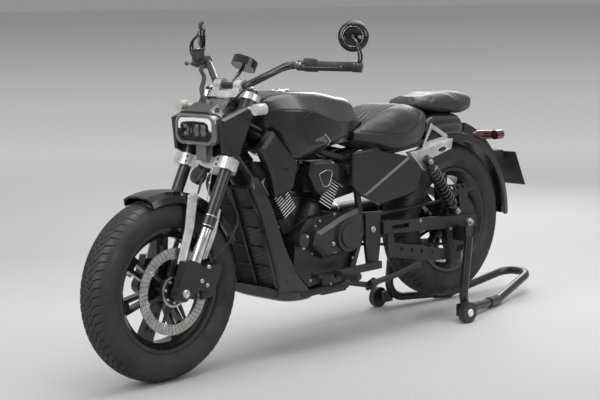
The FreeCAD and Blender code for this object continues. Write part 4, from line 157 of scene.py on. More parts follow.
class Tree:
    """Short forms for the nodes that the finishes use."""

    BRIGHT_EDGE = 0.0006

    def __init__(self, nodes: bpy.types.NodeTree) -> None:
        """Keep the tree and its shader.

        Args:
            nodes: A material's node tree as Blender makes it.
        """
        self.nodes = nodes.nodes
        self.links = nodes.links
        self.shader = next(n for n in self.nodes if n.type == "BSDF_PRINCIPLED")
        self.place = self.nodes.new("ShaderNodeTexCoord").outputs["Object"]

    def link(self, source: Socket, target: Socket) -> None:
        """Join two sockets."""
        self.links.new(source, target)

    def outside(self, reach: float) -> Socket:
        """1 on what lies further from the middle plane than a reach, else 0."""
        split = self.nodes.new("ShaderNodeSeparateXYZ")
        self.link(self.place, split.inputs[0])
        away = self.math("ABSOLUTE", split.outputs["Y"], 0.0)
        return self.spread(away, 0.0, 1.0, reach, reach + self.BRIGHT_EDGE)

    def noise(self, scale: float, detail: float) -> Socket:
        """Cloudy noise at a scale."""
        node = self.nodes.new("ShaderNodeTexNoise")
        node.inputs["Scale"].default_value = scale
        node.inputs["Detail"].default_value = detail
        self.link(self.place, node.inputs["Vector"])
        return node.outputs["Fac"]

    def cells(self, scale: float) -> Socket:
        """Leathery cells at a scale."""
        node = self.nodes.new("ShaderNodeTexVoronoi")
        node.feature = "SMOOTH_F1"
        node.inputs["Scale"].default_value = scale
        self.link(self.place, node.inputs["Vector"])
        return node.outputs["Distance"]

    def ramp(self, fac: Socket, stops: Sequence[tuple[float, Color]]
             ) -> Socket:
        """A colour ramp over a value.

        Args:
            fac: The value, from 0 to 1.
            stops: Each stop's place and colour.

        Returns:
            The colour's socket.
        """
        node = self.nodes.new("ShaderNodeValToRGB")
        bar = node.color_ramp
        while len(bar.elements) < len(stops):
            bar.elements.new(0.5)
        for element, (at, color) in zip(bar.elements, stops):
            element.position = at
            element.color = (*color, 1.0)
        self.link(fac, node.inputs["Fac"])
        return node.outputs["Color"]

    def spread(self, fac: Socket, low: float, high: float,
               start: float = NOISE_LOW, end: float = NOISE_HIGH) -> Socket:
        """A value moved from one range to another."""
        node = self.nodes.new("ShaderNodeMapRange")
        for name, value in (("From Min", start), ("From Max", end), ("To Min", low),
                            ("To Max", high)):
            node.inputs[name].default_value = value
        self.link(fac, node.inputs["Value"])
        return node.outputs["Result"]

    def math(self, kind: str, one: Socket, two: float) -> Socket:
        """A value after one operation with a number."""
        node = self.nodes.new("ShaderNodeMath")
        node.operation = kind
        self.link(one, node.inputs[0])
        node.inputs[1].default_value = two
        return node.outputs[0]

    def bevel(self, radius: float) -> Socket:
        """The normal with edges softened by a radius."""
        node = self.nodes.new("ShaderNodeBevel")
        node.samples = 4
        node.inputs["Radius"].default_value = radius
        return node.outputs["Normal"]

    def mix(self, fac: Socket, one: Socket, two: Color
            ) -> Socket:
        """A colour mixed with a plain one by a value."""
        node = self.nodes.new("ShaderNodeMix")
        node.data_type = "RGBA"
        self.link(fac, node.inputs["Factor"])
        self.link(one, node.inputs["A"])
        node.inputs["B"].default_value = (*two, 1.0)
        return node.outputs["Result"]

    def bump(self, height: Socket, depth: float, soft: Socket
             ) -> Socket:
        """A softened normal bumped by a real depth in metres."""
        node = self.nodes.new("ShaderNodeBump")
        node.inputs["Distance"].default_value = depth
        node.inputs["Strength"].default_value = 1.0
        self.link(height, node.inputs["Height"])
        self.link(soft, node.inputs["Normal"])
        return node.outputs["Normal"]


SATIN_BLACK = Finish("satin_black", (0.010, 0.010, 0.011), 0.27, variation=0.12, coat=0.25)
FRAME_BLACK = Finish("frame_black", (0.010, 0.010, 0.011), 0.38, Relief.CAST, variation=0.2)
GLOSS_BLACK = Finish("gloss_black", (0.007, 0.007, 0.008), 0.1, variation=0.1, depth=0.00002)
ENGINE_BLACK = Finish("engine_black", (0.017, 0.017, 0.018), 0.42, Relief.CAST, variation=0.3,
                      depth=0.00015, edge=0.002)
# The fins' outer edges are machined bright, this deep.
FIN_EDGE = 0.0025
FIN_BLACK = Finish("fin_black", (0.016, 0.016, 0.017), 0.36, Relief.CAST, edge=0.0008,
                   bright_from=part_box("cylinders")[1][1] - FIN_EDGE)
TYRE = Finish("tyre", (0.014, 0.014, 0.015), 0.62, Relief.RUBBER, variation=0.3, depth=0.0002)
RIM = Finish("rim", (0.008, 0.008, 0.009), 0.22, coat=0.2, edge=0.002)
DISC_STEEL = Finish("disc_steel", (0.40, 0.39, 0.37), 0.34, Relief.BRUSHED, metallic=0.9,
                    edge=0.0006)
BARE_STEEL = Finish("bare_steel", (0.52, 0.52, 0.53), 0.28, Relief.BRUSHED, metallic=0.95)
SILVER = Finish("silver", (0.62, 0.62, 0.63), 0.36, Relief.CAST, metallic=0.75, edge=0.002,
                depth=0.00005)
CHROME = Finish("chrome", (0.72, 0.72, 0.73), 0.1, metallic=1.0, depth=0.00001)
GRIP = Finish("grip", (0.018, 0.018, 0.018), 0.7, Relief.RUBBER, depth=0.0004)
MATT_PLASTIC = Finish("matt_plastic", (0.022, 0.022, 0.023), 0.55, Relief.GRAINED,
                      depth=0.00008)
GRILLE = Finish("grille", (0.018, 0.018, 0.019), 0.45, edge=0.0006)
SEAT_HIDE = Finish("seat_hide", (0.014, 0.014, 0.015), 0.44, Relief.HIDE, variation=0.15,
                   depth=0.0002, sheen=0.05)
LAMP_CLEAR = Finish("lamp_clear", (0.16, 0.165, 0.17), 0.1, variation=0.1, metallic=0.3,
                    coat=0.8, depth=0.00002)
RED_LENS = Finish("red_lens", (0.05, 0.008, 0.008), 0.12, coat=0.8, depth=0.00002)
BELT = Finish("belt", (0.015, 0.015, 0.015), 0.65, Relief.RUBBER)
EXHAUST = Finish("exhaust", (0.03, 0.03, 0.032), 0.38, Relief.CAST, metallic=0.5)
ROLLER = Finish("roller", (0.02, 0.02, 0.02), 0.45, Relief.GRAINED)
SPRING = Finish("spring", (0.03, 0.03, 0.031), 0.22, metallic=0.5, coat=0.4)
THREAD = Finish("thread", (0.05, 0.05, 0.052), 0.6, Relief.RUBBER)
REFLECTOR = Finish("reflector", (0.42, 0.43, 0.44), 0.22, metallic=1.0, depth=0.00001)
TRIM_GREY = Finish("trim_grey", (0.13, 0.13, 0.13), 0.4, Relief.BRUSHED, metallic=0.4)
CARRIER = Finish("carrier", (0.03, 0.03, 0.032), 0.3, metallic=0.6)
DARK_STEEL = Finish("dark_steel", (0.05, 0.05, 0.052), 0.3, Relief.BRUSHED, metallic=0.9)
MIRROR = Finish("mirror", (0.75, 0.76, 0.77), 0.03, metallic=1.0, variation=0.03,
                depth=0.000002)
LIGHT_BAR = Finish("light_bar", (0.93, 0.94, 0.95), 0.25, variation=0.03, coat=0.5)
EYE_GLASS = Finish("eye_glass", (0.10, 0.11, 0.12), 0.04, variation=0.1, coat=1.0,
                   depth=0.000005)
LENS_CLEAR = Finish("lens_clear", (0.42, 0.41, 0.39), 0.1, variation=0.08, coat=0.8,
                    depth=0.00002)
WHITE_MARK = Finish("white_mark", (0.7, 0.7, 0.7), 0.5, variation=0.05)
CLEAR_GLASS = Finish("clear_glass", (0.02, 0.02, 0.021), 0.05, variation=0.02,
                     depth=0.000005, clear=0.88)

NODE_FINISHES: dict[str, Finish] = {node: finish for finish, nodes in (
    (TYRE, "front_tyre rear_tyre"),
    (RIM, "front_rim rear_rim"),
    (DISC_STEEL, "front_disc rear_disc"),
    (EXHAUST, "rear_pulley exhaust"),
    (SILVER, "fork_clamps fender_stays subframe_castings"),
    (SATIN_BLACK, "fork_tubes handlebar headlight_cowl fork_shrouds head_covers "
                  "radiator_shroud fuel_tank tail_cowl side_covers front_covers "
                  "shock_absorbers rear_fender paddock_stand"),
    (FRAME_BLACK, "fork_legs frame swingarm foot_controls side_stand"),
    (BARE_STEEL, "front_axle rear_axle"),
    (GRIP, "grips control_cables brake_hose"),
    (MATT_PLASTIC, "bar_controls number_plate"),
    (GLOSS_BLACK, "mirrors front_fender instrument"),
    (LAMP_CLEAR, "headlight"),
    (LENS_CLEAR, "front_indicators"),
    (ENGINE_BLACK, "front_caliper rear_caliper crankcase"),
    (FIN_BLACK, "cylinders"),
    (GRILLE, "radiator"),
    (SEAT_HIDE, "rider_seat pillion_seat"),
    (RED_LENS, "tail_lights"),
    (BELT, "drive_belt"),
    (ROLLER, "stand_roller_left stand_roller_right")) for node in nodes.split()}


def fork(ahead: float, side: float, up: float) -> Vector:
    """A place in the fork's own frame, in millimetres, moved to the part's frame."""
    cosine, sine = math.cos(RAKE), math.sin(RAKE)
    return place(FORK_FOOT[0] + ahead * cosine - up * sine, side,
                 FORK_FOOT[1] + ahead * sine + up * cosine)


def along(*shares: float) -> Vector:
    """A direction of length one."""
    return Vector(shares).normalized()


def standing(axis: Vector) -> Matrix:
    """A turn that stands the Z axis along a direction."""
    return axis.to_track_quat("Z", "Y").to_matrix().to_4x4()


def eased(points: Sequence[Vector], steps: int) -> list[Vector]:
    """A smooth line through places.

    Args:
        points: The places that the line passes.
        steps: The number of pieces between two places.

    Returns:
        The line's places, the first and the last of the given ones among them.
    """
    line = []
    last = len(points) - 1
    for i in range(last):
        before, start = points[max(i - 1, 0)], points[i]
        end, after = points[i + 1], points[min(i + 2, last)]
        for step in range(steps):
            t = step / steps
            line.append(0.5 * (2 * start + (end - before) * t
                               + (2 * before - 5 * start + 4 * end - after) * t * t
                               + (3 * start - before - 3 * end + after) * t * t * t))
    return line + [points[last]]


def rounded(part: bmesh.types.BMesh, edges: Sequence[bmesh.types.BMEdge], offset: float,
            segments: int) -> None:
    """Bevel edges of a bmesh by an offset."""
    bmesh.ops.bevel(part, geom=edges, offset=offset, segments=segments, profile=0.5,
                    affect="EDGES", material=-1)


def spun(part: bmesh.types.BMesh, geom: list, steps: int) -> None:
    """Spin a line of a bmesh once round the Z axis."""
    bmesh.ops.spin(part, geom=geom, cent=(0, 0, 0), axis=(0, 0, 1), dvec=(0, 0, 0),
                   angle=math.tau, steps=steps, use_merge=True, use_normal_flip=False,
                   use_duplicate=False)


class Head(Enum):
    """The kinds of screw head, each an outline of radii and heights as shares of its radius.

    A hexagon's shares are its foot, its top and how much it narrows.
    """

    HEX = (0.2, 1.0, 0.94)
    SOCKET = ((1.0, 0.2), (1.0, 0.85), (0.9, 0.95), (0.55, 0.95), (0.5, 0.45), (0, 0.45))
    DOME = ((1.0, 0.2), (0.9, 0.55), (0.55, 0.8), (0.35, 0.82), (0.3, 0.4), (0, 0.4))


class Shaper:
    """A mesh in the making, put together from bmesh operators. Lengths are metres."""

    # A screw head's steps, its washer's outline as shares of its radius, and how deep the
    # washer is sunk.
    HEAD_STEPS = 16
    WASHER = ((1.35, 0.18), (0.9, 0.26), (0.0, 0.26))
    SUNK = 0.0006

    def __init__(self) -> None:
        """Start with nothing."""
        self.bm = bmesh.new()

    def add(self, part: bmesh.types.BMesh, turn: Matrix | None = None) -> None:
        """Join a finished bmesh to this one, turned and moved, and free it."""
        if turn is not None:
            bmesh.ops.transform(part, matrix=turn, verts=part.verts[:])
        scratch = bpy.data.meshes.new("scratch")
        part.to_mesh(scratch)
        part.free()
        self.bm.from_mesh(scratch)
        bpy.data.meshes.remove(scratch)

    def bar(self, start: Vector, end: Vector, radius: float, tip: float | None = None,
            sides: int = 24, bevel: float = 0.0) -> None:
        """A round bar or cone between two places, its end edges rounded by a bevel."""
        part = bmesh.new()
        run = end - start
        bmesh.ops.create_cone(part, cap_ends=True, segments=sides, radius1=radius,
                              radius2=radius if tip is None else tip, depth=run.length)
        if bevel > 0:
            rims = [e for e in part.edges if abs(e.verts[0].co.z - e.verts[1].co.z) < 1e-7]
            rounded(part, rims, bevel, 2)
        self.add(part, Matrix.Translation((start + end) / 2) @ standing(run))

    def block(self, middle: Vector, size: Point, turn: Matrix | None = None,
              bevel: float = 0.001, segments: int = 2) -> None:
        """A box with rounded edges, turned about its middle."""
        part = bmesh.new()
        bmesh.ops.create_cube(part, size=1.0)
        bmesh.ops.scale(part, vec=size, verts=part.verts[:])
        rounded(part, part.edges[:], bevel, segments)
        self.add(part, Matrix.Translation(middle) @ (turn or Matrix.Identity(4)))

    def ball(self, middle: Vector, radius: float, stretch: Point = (1, 1, 1)) -> None:
        """A ball, stretched along the part's axes."""
        part = bmesh.new()
        bmesh.ops.create_uvsphere(part, u_segments=20, v_segments=10, radius=radius)
        bmesh.ops.scale(part, vec=stretch, verts=part.verts[:])
        self.add(part, Matrix.Translation(middle))

    def lathe(self, foot: Vector, axis: Vector, outline: Sequence[Pair],
              steps: int = 32, closed: bool = False) -> None:
        """An outline spun about an axis.

        Args:
            foot: The place on the axis that heights are measured from.
            axis: The direction of the axis.
            outline: Pairs of radius and height.
            steps: The number of steps round the axis.
            closed: Whether the outline's end joins its start, as on a ring.
        """
        part = bmesh.new()
        verts = [part.verts.new((radius, 0.0, height)) for radius, height in outline]
        edges = [part.edges.new(pair) for pair in zip(verts, verts[1:])]
        if closed:
            edges.append(part.edges.new((verts[-1], verts[0])))
        spun(part, verts + edges, steps)
        bmesh.ops.remove_doubles(part, verts=part.verts[:], dist=SAME)
        self.add(part, Matrix.Translation(foot) @ standing(axis))

    def sweep(self, line: Sequence[Vector], radii: float | Sequence[float], sides: int = 10,
              flat: float = 1.0, across: Vector | None = None) -> None:
        """A tube along a line.

        Args:
            line: The places that the tube's middle passes.
            radii: One radius, or one for each place.
            sides: The number of sides round it.
            flat: The section's height as a share of its width.
            across: The direction of the section's width at the start.
        """
        part = bmesh.new()
        widths = [radii] * len(line) if isinstance(radii, float) else list(radii)
        bmesh.ops.create_circle(part, cap_ends=True, segments=sides, radius=1.0)
        bmesh.ops.scale(part, vec=(1.0, flat, 1.0), verts=part.verts[:])
        heading = (line[1] - line[0]).normalized()
        turn = standing(heading)
        if across is not None:
            side = (across - heading * across.dot(heading)).normalized()
            turn = Matrix((side, heading.cross(side), heading)).transposed().to_4x4()
        spot = Matrix.Translation(line[0]) @ turn @ Matrix.Scale(widths[0], 4)
        bmesh.ops.transform(part, matrix=spot, verts=part.verts[:])
        part.faces.ensure_lookup_table()
        face = part.faces[0]
        for i in range(1, len(line)):
            ahead = line[min(i + 1, len(line) - 1)] - line[i - 1]
            turn = heading.rotation_difference(ahead).to_matrix().to_4x4() @ turn
            heading = ahead.normalized()
            grown = bmesh.ops.extrude_face_region(part, geom=[face])["geom"]
            face = next(g for g in grown if isinstance(g, bmesh.types.BMFace))
            there = Matrix.Translation(line[i]) @ turn @ Matrix.Scale(widths[i], 4)
            bmesh.ops.transform(part, matrix=there @ spot.inverted(), verts=face.verts[:])
            spot = there
        self.add(part)

    def prism(self, corners: Sequence[Vector], run: Vector, bevel: float) -> None:
        """A flat outline drawn out along a direction, with its edges rounded."""
        part = bmesh.new()
        face = part.faces.new([part.verts.new(corner) for corner in corners])
        grown = bmesh.ops.extrude_face_region(part, geom=[face])["geom"]
        bmesh.ops.translate(part, vec=run, verts=[g for g in grown
                                                  if isinstance(g, bmesh.types.BMVert)])
        rounded(part, part.edges[:], bevel, 2)
        self.add(part)

    def bolt(self, at: Vector, axis: Vector, radius: float, head: Head = Head.HEX
             ) -> None:
        """A screw head on a washer, with its socket or hexagon, standing on a face."""
        washer = [(radius * wide, radius * tall) for wide, tall in self.WASHER]
        self.lathe(at, axis, [(washer[0][0], -self.SUNK)] + washer, self.HEAD_STEPS)
        if head is Head.HEX:
            foot, top, narrow = head.value
            self.bar(at + axis * radius * foot, at + axis * radius * top, radius,
                     radius * narrow, 6)
            return
        self.lathe(at, axis, [(radius * wide, radius * tall) for wide, tall in head.value],
                   self.HEAD_STEPS)

    def tidy(self, closed: bool) -> None:
        """Merge doubles and, on closed shells, turn the faces outwards."""
        bmesh.ops.remove_doubles(self.bm, verts=self.bm.verts[:], dist=SAME)
        if closed:
            bmesh.ops.recalc_face_normals(self.bm, faces=self.bm.faces[:])


def make_piece(name: str, shape: Shaper, finish: Finish, body: str,
               replaced: Sequence[str] = (), smooth: float = 35.0, closed: bool = True
               ) -> None:
    """Turn a shape into a dressed object that rides on a body.

    Args:
        name: The piece's name.
        shape: The mesh in the making, freed here.
        finish: The piece's finish.
        body: The body that it moves with.
        replaced: CAD nodes that it stands for.
        smooth: The angle in degrees up to which edges look rounded.
        closed: Whether the shape is made of closed shells.
    """
    shape.tidy(closed)
    mesh = bpy.data.meshes.new(name)
    shape.bm.to_mesh(mesh)
    shape.bm.free()
    mesh.polygons.foreach_set("use_smooth", [True] * len(mesh.polygons))
    mesh.set_sharp_from_angle(angle=math.radians(smooth))
    mesh.materials.append(finish.material())
    piece = bpy.data.objects.new(name, mesh)
    bpy.context.scene.collection.objects.link(piece)
    if replaced:
        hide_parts(*replaced)
    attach(piece, body)
    log.info("%s: %d faces on %s", name, len(mesh.polygons), body)


@dataclass
class Assembly:
    """A group of pieces that ride on one body."""

    body: str = "chassis"

    def piece(self, name: str, shape: Shaper, finish: Finish, slot: str,
              replaced: Sequence[str] = (), smooth: float = 35.0, closed: bool = True) -> None:
        """Make a piece, as make_piece does, on this assembly's body."""
        make_piece(name, shape, finish, self.body, replaced, smooth, closed)


@dataclass(frozen=True)
class Seat:
    """A place on a CAD node's surface and the way that the surface faces there."""

    spot: Vector
    out: Vector


# Where a line meets nothing, what stands there is put out of sight, amid the engine.
UNMET = Seat(Vector((0, 0, 0.5)), UP)
# How far to a side the lines of side_seat start, in millimetres.
SIDE_START = 600


def seat(nodes: str, start: Vector, run: Vector) -> Seat:
    """Where a line from outside first meets one of some CAD nodes.

    Args:
        nodes: The names of the nodes that the line looks for, with spaces between them.
        start: Where the line starts.
        run: The line's direction.

    Returns:
        The nearest place that it meets, with the surface's direction.
    """
    found = []
    for name in nodes.split():
        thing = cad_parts[name]
        back = thing.matrix_world.inverted()
        hit, spot, out, _ = thing.ray_cast(back @ start, back.to_3x3() @ run)
        if hit:
            spot = thing.matrix_world @ spot
            out = (thing.matrix_world.to_3x3() @ out).normalized()
            found.append(((spot - start).length, Seat(spot, out)))
    if not found:
        log.warning("%s isn't met from %s", nodes, tuple(round(v, 4) for v in start))
        return UNMET
    return min(found, key=lambda pair: pair[0])[1]


def side_seat(nodes: str, x: float, z: float, side: int = 1) -> Seat:
    """Where nodes are met from the left (1) or right (-1), at a place in millimetres."""
    return seat(nodes, place(x, side * SIDE_START, z), Vector((0, -side, 0)))


def side_bolts(shape: Shaper, nodes: str, spots: Sequence[Pair], side: int,
               radius: float, head: Head = Head.HEX) -> None:
    """Screw heads that stand on a node's side, each along the side's own direction."""
    for x, z in spots:
        met = side_seat(nodes, x, z, side)
        shape.bolt(met.spot, met.out, radius, head)


def inlay(shape: Shaper, nodes: str, spots: Sequence[Pair], side: int,
          radius: float, steps: int) -> None:
    """A thin closed line laid half into a node's side, through places in millimetres."""
    flat = [Vector((x, z, 0)) for x, z in spots]
    shape.sweep([side_seat(nodes, v.x, v.y, side).spot for v in eased(flat + flat[:1], steps)],
                radius, 8)


@dataclass
class Tyre:
    """A tyre with its tread: wavy grooves from each shoulder and one round the crown.

    Lengths are millimetres, but for the crown groove's wave. The wall's shares are of the
    width and of the height above the bead. The tread's edge is at a share of the width, and
    the grooves' start and end are shares of the way to it. Each pitch has one groove a side
    and a number of steps.
    """

    node: str
    body: str
    axle: Pair
    radius: float
    width: float
    rim_half: float
    pitches: int
    bead: float = 217.3
    bead_depth: float = 12.7
    lip: float = 6.0
    bead_width: float = 12.3
    depth: float = 4.6
    crown_wave: float = 0.0035
    steps: int = 10
    wall_shares: Sequence[Pair] = (
        (0.36, 0.0), (0.405, 0.05), (0.43, 0.1), (0.47, 0.22), (0.495, 0.34), (0.5, 0.45),
        (0.495, 0.56), (0.47, 0.68), (0.425, 0.79), (0.36, 0.88), (0.26, 0.95),
        (0.13, 0.99), (0.0, 1.0))
    tread_share: float = 0.43
    groove_shares: Pair = (0.13, 1.04)
    crown_share: float = 0.05

    def build(self) -> None:
        """Roll a grid into the tyre's ring, then sink and turn the tread's grooves."""
        shape = Shaper()
        part = bmesh.new()
        section = self.section()
        rows, turns = len(section), self.pitches * self.steps
        bmesh.ops.create_grid(part, x_segments=turns, y_segments=rows, size=1.0)
        for vert in part.verts:
            turn = (vert.co.x + 1) * math.pi
            side, out = section[round((vert.co.y + 1) / 2 * rows) % rows]
            vert.co = Vector((out * math.cos(turn), side, -out * math.sin(turn))) / 1000
        bmesh.ops.remove_doubles(part, verts=part.verts[:], dist=SAME)
        self.cut(part)
        shape.add(part, Matrix.Translation(place(self.axle[0], 0, self.axle[1])))
        make_piece(self.node + "_tread", shape, TYRE, self.body, [self.node], 42)

    def section(self) -> list[Pair]:
        """The section's places: side and radius, in millimetres, once round."""
        wall = self.radius - self.bead
        half = [Vector((self.width * side, self.bead + wall * out, 0))
                for side, out in self.wall_shares]
        right = [Vector((-v.x, v.y, 0)) for v in reversed(half[:-1])]
        outer = [(v.x, v.y) for v in eased(half + right, 3)]
        lip, foot = self.rim_half - self.lip, self.rim_half - self.bead_width
        low = self.bead - self.bead_depth
        return outer + [(-lip, self.bead), (-foot, low), (foot, low), (lip, self.bead)]

    def cut(self, part: bmesh.types.BMesh) -> None:
        """Sink one row of places in each pitch, and turn the rows into their wave.

        A place's share is how far it is from the middle, where 1 is the tread's edge.
        """
        step = math.tau / (self.pitches * self.steps)
        edge = self.width * self.tread_share / 1000
        start, end = self.groove_shares
        for vert in part.verts:
            out = math.hypot(vert.co.x, vert.co.z)
            share = abs(vert.co.y) / edge
            if out * 1000 < self.bead + (self.radius - self.bead) * 0.6 or share > 1.12:
                continue
            row = round(math.atan2(-vert.co.z, vert.co.x) / step)
            if vert.co.y < 0:
                row += self.steps // 2
            sunk = 0.0
            if row % self.steps == 0 and start < share < end:
                sunk = self.depth * min(1.0, (end + 0.04 - share) / 0.2)
            elif share < self.crown_share:
                sunk = self.depth * 0.7
            fade = min(max((share - self.crown_share) / 0.15, 0.0), 1.0)
            wave = fade * (math.tanh((share - 0.42) * 9) + 0.9 * share) * step * self.steps * 0.5
            keep = (out - sunk / 1000) / out
            vert.co.x *= keep
            vert.co.z *= keep
            if share < 0.12:
                vert.co.y += self.crown_wave * math.sin(row * math.tau / self.steps)
            turn = wave if vert.co.y >= 0 else -wave
            cosine, sine = math.cos(turn), math.sin(turn)
            x, z = vert.co.x, vert.co.z
            vert.co.x, vert.co.z = x * cosine - z * sine, x * sine + z * cosine


@dataclass
class Disc:
    """A drilled brake disc with its dark carrier and bright bobbins.

    Lengths are millimetres. The band is the ring's width, with rows of holes, and the
    bobbins lie a little further out than its inner edge.
    """

    node: str
    body: str
    axle: Pair
    radius: float
    side: float
    hub_face: float
    bobbins: int = 7
    band: float = 36.0
    thickness: float = 4.5
    rows: int = 4
    cells: int = 54
    hole: float = 2.6
    slant: float = 0.05
    bobbin_in: float = 5.0
    screw_reach: float = 38.0

    def build(self) -> None:
        """Make the ring, the carrier and the bobbins."""
        centre = place(self.axle[0], self.side, self.axle[1])
        shape = Shaper()
        part = drilled_ring(self.radius - self.band, self.radius, self.rows, self.cells,
                            self.hole, self.thickness, self.slant)
        shape.add(part, Matrix.Translation(centre) @ standing(LEFT))
        make_piece(self.node + "_ring", shape, DISC_STEEL, self.body, [self.node])
        self.carrier(centre)
        self.pins(centre)

    def spots(self, centre: Vector, reach: float, turned: float = 0.0) -> list[Vector]:
        """Places round the axle, one for each bobbin, at a reach in millimetres."""
        turns = [math.tau / self.bobbins * i + turned for i in range(self.bobbins)]
        return [centre + Vector((math.sin(t), 0, math.cos(t))) * reach / 1000 for t in turns]

    def carrier(self, centre: Vector) -> None:
        """The boss on the hub with an arm to each bobbin."""
        face = (abs(self.side) + self.thickness - abs(self.hub_face)) / 1000
        axis = Vector((0, math.copysign(1, self.side), 0))
        foot = place(self.axle[0], self.hub_face, self.axle[1])
        shape = Shaper()
        shape.lathe(foot, axis, ((0.0106, 0), (0.052, 0), (0.052, face - 0.006),
                                 (0.046, face - 0.001), (0.044, face), (0.03, face),
                                 (0.026, face - 0.006), (0.0106, face - 0.006)), 56, True)
        for tip in self.spots(centre, self.radius - self.band + self.bobbin_in):
            run = (tip - centre).normalized()
            across = run.cross(axis)
            root = centre + run * 0.047
            corners = [root + across * 0.009, tip + across * 0.0058 - run * 0.003,
                       tip - across * 0.0058 - run * 0.003, root - across * 0.009]
            shape.prism([c - axis * 0.0021 for c in corners], axis * 0.0042, 0.0009)
        make_piece(self.node + "_carrier", shape, CARRIER, self.body)

    def pins(self, centre: Vector) -> None:
        """Bright bobbins with a dark middle where the arms meet the ring."""
        axis = Vector((0, math.copysign(1, self.side), 0))
        shape = Shaper()
        for tip in self.spots(centre, self.radius - self.band + self.bobbin_in):
            shape.lathe(tip, axis, ((0.0038, -0.0042), (0.0088, -0.0042), (0.0088, 0.0036),
                                    (0.0076, 0.0046), (0.0046, 0.0046), (0.0038, 0.0034)),
                        24, True)
        for tip in self.spots(centre, self.screw_reach, math.pi / self.bobbins):
            shape.bolt(tip + axis * 0.0045, axis, 0.0042, Head.SOCKET)
        make_piece(self.node + "_bobbins", shape, BARE_STEEL, self.body)


def drilled_ring(inner: float, outer: float, rows: int, cells: int, hole: float,
                 thickness: float, slant: float) -> bmesh.types.BMesh:
    """A flat ring about the Z axis with rows of round holes through it.

    Args:
        inner: The inner radius in millimetres.
        outer: The outer radius in millimetres.
        rows: The number of rows of holes.
        cells: The number of holes in a row.
        hole: A hole's radius in millimetres.
        thickness: The ring's thickness in millimetres.
        slant: How far each row is turned from the next, in radians over the whole band.

    Returns:
        The ring's bmesh, in metres.
    """
    part = bmesh.new()
    line = [part.verts.new(((inner + (outer - inner) * i / rows) / 1000, 0, 0))
            for i in range(rows + 1)]
    edges = [part.edges.new(pair) for pair in zip(line, line[1:])]
    spun(part, line + edges, cells)
    bmesh.ops.bisect_edges(part, edges=part.edges[:], cuts=1)
    low, high = inner / 1000, outer / 1000
    close = 0.002
    for vert in part.verts:
        out = vert.co.length
        near = low if abs(out - low) < close else high if abs(out - high) < close else None
        if near is not None:
            vert.co *= near / out
        turn = slant * (vert.co.length - low) / (high - low)
        vert.co.rotate(Matrix.Rotation(turn, 3, "Z"))
    faces = part.faces[:]
    middles = {face: face.calc_center_median() for face in faces}
    bmesh.ops.inset_individual(part, faces=faces, thickness=0.0012, depth=0.0)
    for face in faces:
        middle = middles[face]
        for vert in face.verts:
            vert.co = middle + (vert.co - middle).normalized() * hole / 1000
    bmesh.ops.delete(part, geom=faces, context="FACES")
    bmesh.ops.recalc_face_normals(part, faces=part.faces[:])
    bmesh.ops.solidify(part, geom=part.faces[:], thickness=thickness / 1000)
    lift = max(vert.co.z for vert in part.verts) + min(vert.co.z for vert in part.verts)
    bmesh.ops.translate(part, vec=(0, 0, -lift / 2), verts=part.verts[:])
    return part


@dataclass
class Wheels:
    """Both wheels: tyres, discs, the pulse ring and the small parts of the rims."""

    front: Pair = (1520.0, 320.0)
    rear: Pair = (0.0, 388.0)

    def build(self) -> None:
        """Make every piece that turns with a wheel."""
        Tyre("front_tyre", "front_wheel", self.front, radius=320, width=130, rim_half=46,
             pitches=66).build()
        Tyre("rear_tyre", "rear_wheel", self.rear, radius=322, width=150, rim_half=58,
             pitches=64).build()
        Disc("front_disc", "front_wheel", self.front, radius=150, side=67,
             hub_face=52).build()
        Disc("rear_disc", "rear_wheel", self.rear, radius=130, side=-84, hub_face=-75,
             rows=3, cells=48).build()
        self.pulse_ring()
        for body, axle, slot in (("front_wheel", self.front, "front_rim"),
                                 ("rear_wheel", self.rear, "rear_rim")):
            self.small_parts(body, axle, slot)

    def pulse_ring(self) -> None:
        """The slotted ring beside the front hub that the wheel sensor reads."""
        shape = Shaper()
        part = drilled_ring(inner=46, outer=54, rows=1, cells=48, hole=1.6, thickness=1.6,
                            slant=0.0)
        shape.add(part, Matrix.Translation(place(self.front[0], 72.6, self.front[1]))
                  @ standing(LEFT))
        make_piece("pulse_ring", shape, BARE_STEEL, "front_wheel")

    def small_parts(self, body: str, axle: Pair, slot: str) -> None:
        """The valve, its cap and the balance weights on a rim's well."""
        shape = Shaper()
        valve, weights = math.radians(64), 2.1
        out = Vector((math.sin(valve), 0, math.cos(valve)))
        hub = place(axle[0], 0, axle[1])
        shape.bar(hub + out * 0.1815, hub + out * 0.152, 0.0042, 0.0036, 16, 0.0006)
        shape.bar(hub + out * 0.152, hub + out * 0.144, 0.0046, None, 16, 0.0008)
        spot = hub + Vector((math.sin(weights), 0, math.cos(weights))) * 0.1808
        for side in (-1, 1):
            shape.block(spot + Vector((0, side * 0.012, 0)), (0.022, 0.014, 0.003),
                        Matrix.Rotation(weights, 4, "Y"), 0.0008)
        make_piece(slot + "_fittings", shape, BARE_STEEL, body)


